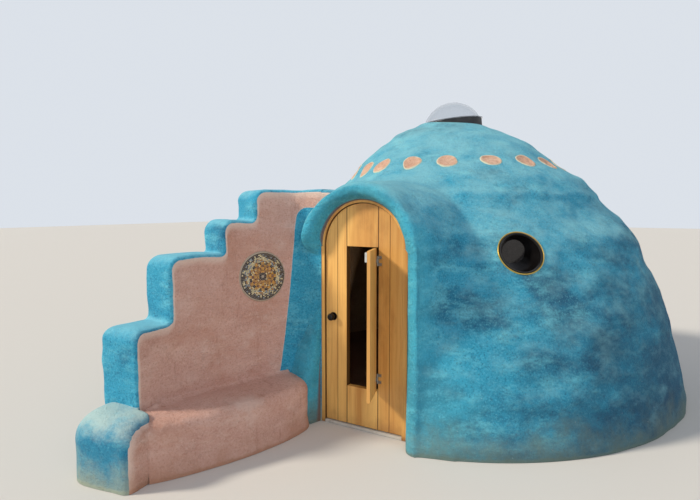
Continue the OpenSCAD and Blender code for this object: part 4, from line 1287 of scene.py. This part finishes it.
def pillar_skin():
    """The low end pillar: rays from its middle out to its faces, pink in front and turquoise elsewhere."""
    columns, low_rows, high_rows, middle_z = 120, 12, 40, 0.17
    core = wing_at(-0.085, WING_R + 0.08)
    turns = np.linspace(0, 2 * math.pi, columns, endpoint=False)
    tilt = np.concatenate([np.zeros(low_rows), np.linspace(0, math.radians(88), high_rows + 1)[1:]])
    start_z = np.concatenate([np.linspace(0, middle_z, low_rows), np.full(high_rows, middle_z)])
    turns, tilt = [g.ravel() for g in np.meshgrid(turns, tilt)]
    start = np.column_stack([np.tile(core, (len(tilt), 1)), np.repeat(start_z, columns)])
    ray = np.stack([np.cos(turns) * np.cos(tilt), np.sin(turns) * np.cos(tilt), np.sin(tilt)], -1)
    points = cast(start, ray, pillar_field)
    normal = field_normal(points, pillar_field)
    angle, r = pillar_places(points)
    flat = soft_min(pillar_top(angle) - 0.050 - points[:, 2], (angle - PILLAR_END) * r - 0.03, 0.10)
    border = np.where(flat > 0, -flat - 0.02, 1.5 * (r - PILLAR_R - 0.014))
    border = np.where(r > PILLAR_R + 0.12, ALL_BLUE, border)
    points = points + normal * (PILLAR_RELIEF * hand_relief(points, PILLAR_SEED))[:, None]
    points[:, 2] = np.where(start[:, 2] <= 0, 0, np.maximum(points[:, 2], 0))
    # A last row of faces closes the top: all its upper corners are one peak
    peak = points[-columns:].mean(0) + np.array([0, 0, 0.001])
    quads = np.minimum(grid_quads(columns, low_rows + high_rows + 1, wrap=True), len(points))
    points = np.vstack([points, peak])
    piece = new_mesh("pillar_skin", points, quads, wing_plaster, "pink_plaster",
                     border=np.append(border, ALL_BLUE), edge=np.ones(len(points)))
    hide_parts("wing_end_pillar")


# Roof discs and the medallion


def disc_places():
    """Middle and outward direction of each roof disc, where it meets the plaster."""
    share = (1 - (DISC_Z - SHOULDER_Z) / CAP_CLOSE) ** (1 / CAP_BOW)
    turns = np.array([2 * math.pi * k / DISCS + math.radians(DISC_NUDGES.get(k, 0)) for k in range(DISCS)])
    rise = CAP_CLOSE * CAP_BOW / SHOULDER_R * share ** (CAP_BOW - 1)
    level = np.stack([np.sin(turns), -np.cos(turns), 0 * turns], -1)
    out = unit(level * rise + np.array([0, 0, 1.0]))
    middle = level * SHOULDER_R * share + np.array([0, 0, DISC_Z])
    found = cast(middle - out * 0.4, out, house_field)
    return found, field_normal(found, house_field)


def roof_discs():
    """Uneven plaster rounds in a ring under the crown, set in the wash, each with a pale rim.

    Rings and spokes of points are cast onto the dome, then lifted by a dished profile with rough lumps.
    """
    rings, spokes = 12, 44
    draw = np.random.default_rng(8)
    share = np.repeat(np.arange(rings + 1) / rings, spokes)
    turns = np.tile(np.linspace(0, 2 * math.pi, spokes, endpoint=False), rings + 1)
    dish = 0.004 - 0.007 * (1 - smooth(share, 0.60, 0.84)) - 0.022 * smooth(share, 0.92, 1.0)
    calm = 1 - smooth(share, 0.75, 0.92)
    points, quads = [], []
    for k, (middle, normal) in enumerate(zip(*disc_places())):
        level = unit(np.cross([0, 0, 1.0], normal))
        up = np.cross(normal, level)
        shape = draw.uniform(0.94, 1.04) * DISC_R * (
            1 + draw.uniform(0.02, 0.07) * np.cos(2 * turns + draw.uniform(0, 6))
            + draw.uniform(0.02, 0.05) * np.cos(3 * turns + draw.uniform(0, 6)))
        flat = (np.cos(turns)[:, None] * level + np.sin(turns)[:, None] * up) * (shape * share)[:, None]
        spot = cast(middle + flat - normal * 0.3, np.tile(normal, (len(flat), 1)), house_field)
        spot = spot + normal * DOME_RELIEF * hand_relief(spot, DOME_SEED)[:, None]
        rough = DISC_RELIEF * lumps(spot, 0.032, DISC_SEED + k) * calm
        points.append(spot + normal * (dish + rough)[:, None])
        quads.append(grid_quads(spokes, rings + 1, k * spokes * (rings + 1), wrap=True))
    piece = new_mesh("roof_disc_skin", np.concatenate(points), np.concatenate(quads), clay, "clay_disc",
                     rim=np.tile(share, DISCS))
    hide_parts("roof_discs")


TILE_TONES = np.array([rgb(206, 148, 50), rgb(164, 112, 44), rgb(214, 200, 156), rgb(34, 30, 40),
                       rgb(122, 138, 150), rgb(122, 66, 36)])
AMBER, OCHRE, CREAM, INK, SKY, RUST = range(6)


def tile_tones(ring, share, turn, chance):
    """Which colour each piece of one ring has, from its turn and a chance between 0 and 1.

    The hub and the outer border are dark. Rays of a sunburst lie between them, with a notched edge and pale
    flecks, then a pale ring, then a dark one.
    """
    if share < 0.17 or share > 0.95:
        return np.full(len(turn), INK)
    if share < 0.62:
        ray = np.cos(12 * turn + (math.pi if ring % 4 > 1 else 0))
        past = share > 0.40 + 0.24 * np.abs(np.cos(6 * turn))
        rules = [chance < 0.10, past & (ray < -0.3), past & (ray < 0.4), past | (ray > 0.1), ray < -0.5]
        return np.select(rules, [CREAM, INK, RUST, AMBER, RUST], OCHRE)
    if share < 0.76:
        return np.select([chance < 0.55, chance < 0.75], [CREAM, OCHRE], SKY)
    return np.select([chance < 0.62, chance < 0.85], [INK, CREAM], SKY)


def medallion():
    """A round mosaic: dark hub, sunburst rays, ochre field and a dark border, in grouted glazed pieces.

    Each piece is a small box without a back, between two radii and two turns round the middle.
    """
    middle = np.append(wing_at(MEDAL_ANGLE, WING_R), MEDAL_Z)
    out = np.array([math.cos(MEDAL_ANGLE), -math.sin(MEDAL_ANGLE), 0.0])
    side = np.array([math.sin(MEDAL_ANGLE), math.cos(MEDAL_ANGLE), 0.0])
    up = np.array([0.0, 0.0, 1.0])
    draw = np.random.default_rng(4)

    def spots(r, turn, lift):
        """Points at radii and turns round the middle, lifted off the wall."""
        r, turn, lift = [v[..., None] for v in np.broadcast_arrays(r, turn, lift)]
        return middle + side * r * np.cos(turn) + up * r * np.sin(turn) + out * lift

    points, colours = [], []
    edges = np.linspace(0.012, MEDAL_R - 0.004, 18)
    for ring, (low, high) in enumerate(zip(edges[:-1], edges[1:])):
        mean = (low + high) / 2
        count = max(8, 8 * int(2 * math.pi * mean / TILE_STEP / 8))
        start = 2 * math.pi * np.arange(count) / count
        stop = 2 * math.pi * np.arange(1, count + 1) / count
        chance, shade, lift = (draw.random((count, 3)) * (1.0, 0.55, 0.0014) + (0.0, 0.7, -0.0006)).T
        tone = TILE_TONES[tile_tones(ring, share=mean / MEDAL_R, turn=(start + stop) / 2, chance=chance)]
        tone[:, :3] = np.clip(tone[:, :3] * shade[:, None], 0, 1)
        gap = TILE_GAP / mean
        r = np.array([low + TILE_GAP, low + TILE_GAP, high - TILE_GAP, high - TILE_GAP])[:, None]
        turn = np.stack([start + gap, stop - gap, stop - gap, start + gap], -1)[..., None]
        height = np.stack([np.full(count, 0.011), 0.0155 + lift], -1)[:, None]
        points.append(spots(r, turn, height).reshape(-1, 3))
        colours.append(np.repeat(tone, 8, axis=0))
    points = np.concatenate(points)
    box = np.array([(1, 3, 5, 7), (0, 2, 3, 1), (2, 4, 5, 3), (4, 6, 7, 5), (6, 0, 1, 7)])
    quads = (box + np.arange(0, len(points), 8)[:, None, None]).reshape(-1, 4)
    tiles = new_mesh("mosaic_tiles", points, quads, glaze, "mosaic_amber", smooth_faces=False)
    layer = tiles.data.color_attributes.new("glaze", "FLOAT_COLOR", "POINT")
    layer.data.foreach_set("color", np.concatenate(colours).astype(np.float32).ravel())

    turns = np.linspace(0, 2 * math.pi, 72, endpoint=False)
    profile = ((0.001, 0.0125), (MEDAL_R - 0.008, 0.0125), (MEDAL_R - 0.003, 0.015),
               (MEDAL_R + 0.002, 0.014), (MEDAL_R + 0.007, 0.006), (MEDAL_R + 0.008, -0.02))
    rows = [spots(r, turns, lift) for r, lift in profile]
    bed = new_mesh("mosaic_bed", np.concatenate(rows), grid_quads(len(turns), len(rows), wrap=True), grout,
                   "mosaic_dark")
    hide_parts("medallion_field")
    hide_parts("medallion_rim")


# The door's own pieces, and the rest of the frame's


def dress(node, material, bevel=0.0):
    """Gives a node of the frame its material and, if asked, a worn edge."""
    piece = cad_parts[node]
    piece.data.materials.clear()
    piece.data.materials.append(material)
    if bevel:
        weld = piece.modifiers.new("weld", "WELD")
        weld.merge_threshold = 0.00002
        worn = piece.modifiers.new("worn edge", "BEVEL")
        worn.width = bevel
        worn.segments = 2
        worn.limit_method = "ANGLE"
        worn.angle_limit = math.radians(40)


def dress_frame():
    """Materials for the nodes that stay as the frame has them."""
    dress("earthen_floor", earthen)
    dress("threshold", threshold_stone, 0.003)
    for node in ("frame_post_left", "frame_post_right", "frame_head"):
        dress(node, pine_frame, 0.003)
    dress("door_boards", pine, 0.0035)
    dress("door_ledges", pine_frame, 0.003)
    dress("hatch_shutter", pine_shutter, 0.003)
    for node in ("frame_hinges", "door_hinges"):
        dress(node, dark_iron)
    for node in ("hatch_hinges", "shutter_hinge_leaves"):
        dress(node, grey_steel)
    dress("door_knobs", black_metal)
    dress("hatch_latch", white_latch, 0.002)
    dress("skylight_curb", black_curb, 0.003)
    dress("skylight_flange", acrylic)
    dress("skylight_bubble", acrylic)
    dress("porthole_tube", dark_tube)
    dress("porthole_glass", smoked)


# Stage, light and camera


def aimed(name, data, where, target):
    """A light or camera at a place, looking at a target."""
    thing = bpy.data.objects.new(name, data)
    thing.location = where
    thing.rotation_euler = (Vector(target) - Vector(where)).to_track_quat("-Z", "Y").to_euler()
    bpy.context.scene.collection.objects.link(thing)
    return thing


def studio():
    """Pale floor and surround, a soft warm key from the upper left front and a softer fill.

    The surround is brighter where the camera sees it, straight, mirrored or through glass.
    """
    bpy.ops.mesh.primitive_plane_add(size=90, location=(0, 0, -0.002))
    floor = bpy.context.object
    floor.name = "studio_floor"
    floor.data.materials.append(surface("studio_floor", paint_plain((214, 210, 204)), 0.95))
    world = bpy.data.worlds.new("studio")
    bpy.context.scene.world = world
    world.use_nodes = True
    tree = world.node_tree
    backdrop = tree.nodes["Background"]
    backdrop.inputs["Color"].default_value = rgb(228, 234, 242)
    ray = add(tree, "LightPath").outputs
    through = maths(tree, "MAXIMUM", ray["Is Glossy Ray"], ray["Is Transmission Ray"])
    seen = maths(tree, "MAXIMUM", ray["Is Camera Ray"], through)
    strength = add(tree, "MapRange", {0: seen, 3: 0.48, 4: 0.92})
    tree.links.new(strength.outputs[0], backdrop.inputs["Strength"])
    suns = (("key", (-6.6, -6.4, 7.0), 9, 3.05, (255, 246, 230)),
            ("fill", (6.5, -7.0, 5.5), 60, 0.85, (234, 240, 255)))
    for name, where, softness, power, tint in suns:
        light = bpy.data.lights.new(name, "SUN")
        light.angle = math.radians(softness)
        light.energy = power
        light.color = rgb(*tint)[:3]
        aimed(name, light, where, (0, -0.8, 1.0))
    camera = bpy.data.cameras.new("camera")
    camera.lens = CAMERA_LENS
    ahead = Vector((-math.sin(CAMERA_HEADING), math.cos(CAMERA_HEADING), -math.tan(CAMERA_PITCH)))
    bpy.context.scene.camera = aimed("camera", camera, CAMERA_EYE, Vector(CAMERA_EYE) + ahead)
    bpy.context.scene.view_settings.view_transform = "Standard"


dome_skin()
room_skin()
porthole_ring()
wing_skin()
bench_skin()
pillar_skin()
roof_discs()
medallion()
dress_frame()
studio()
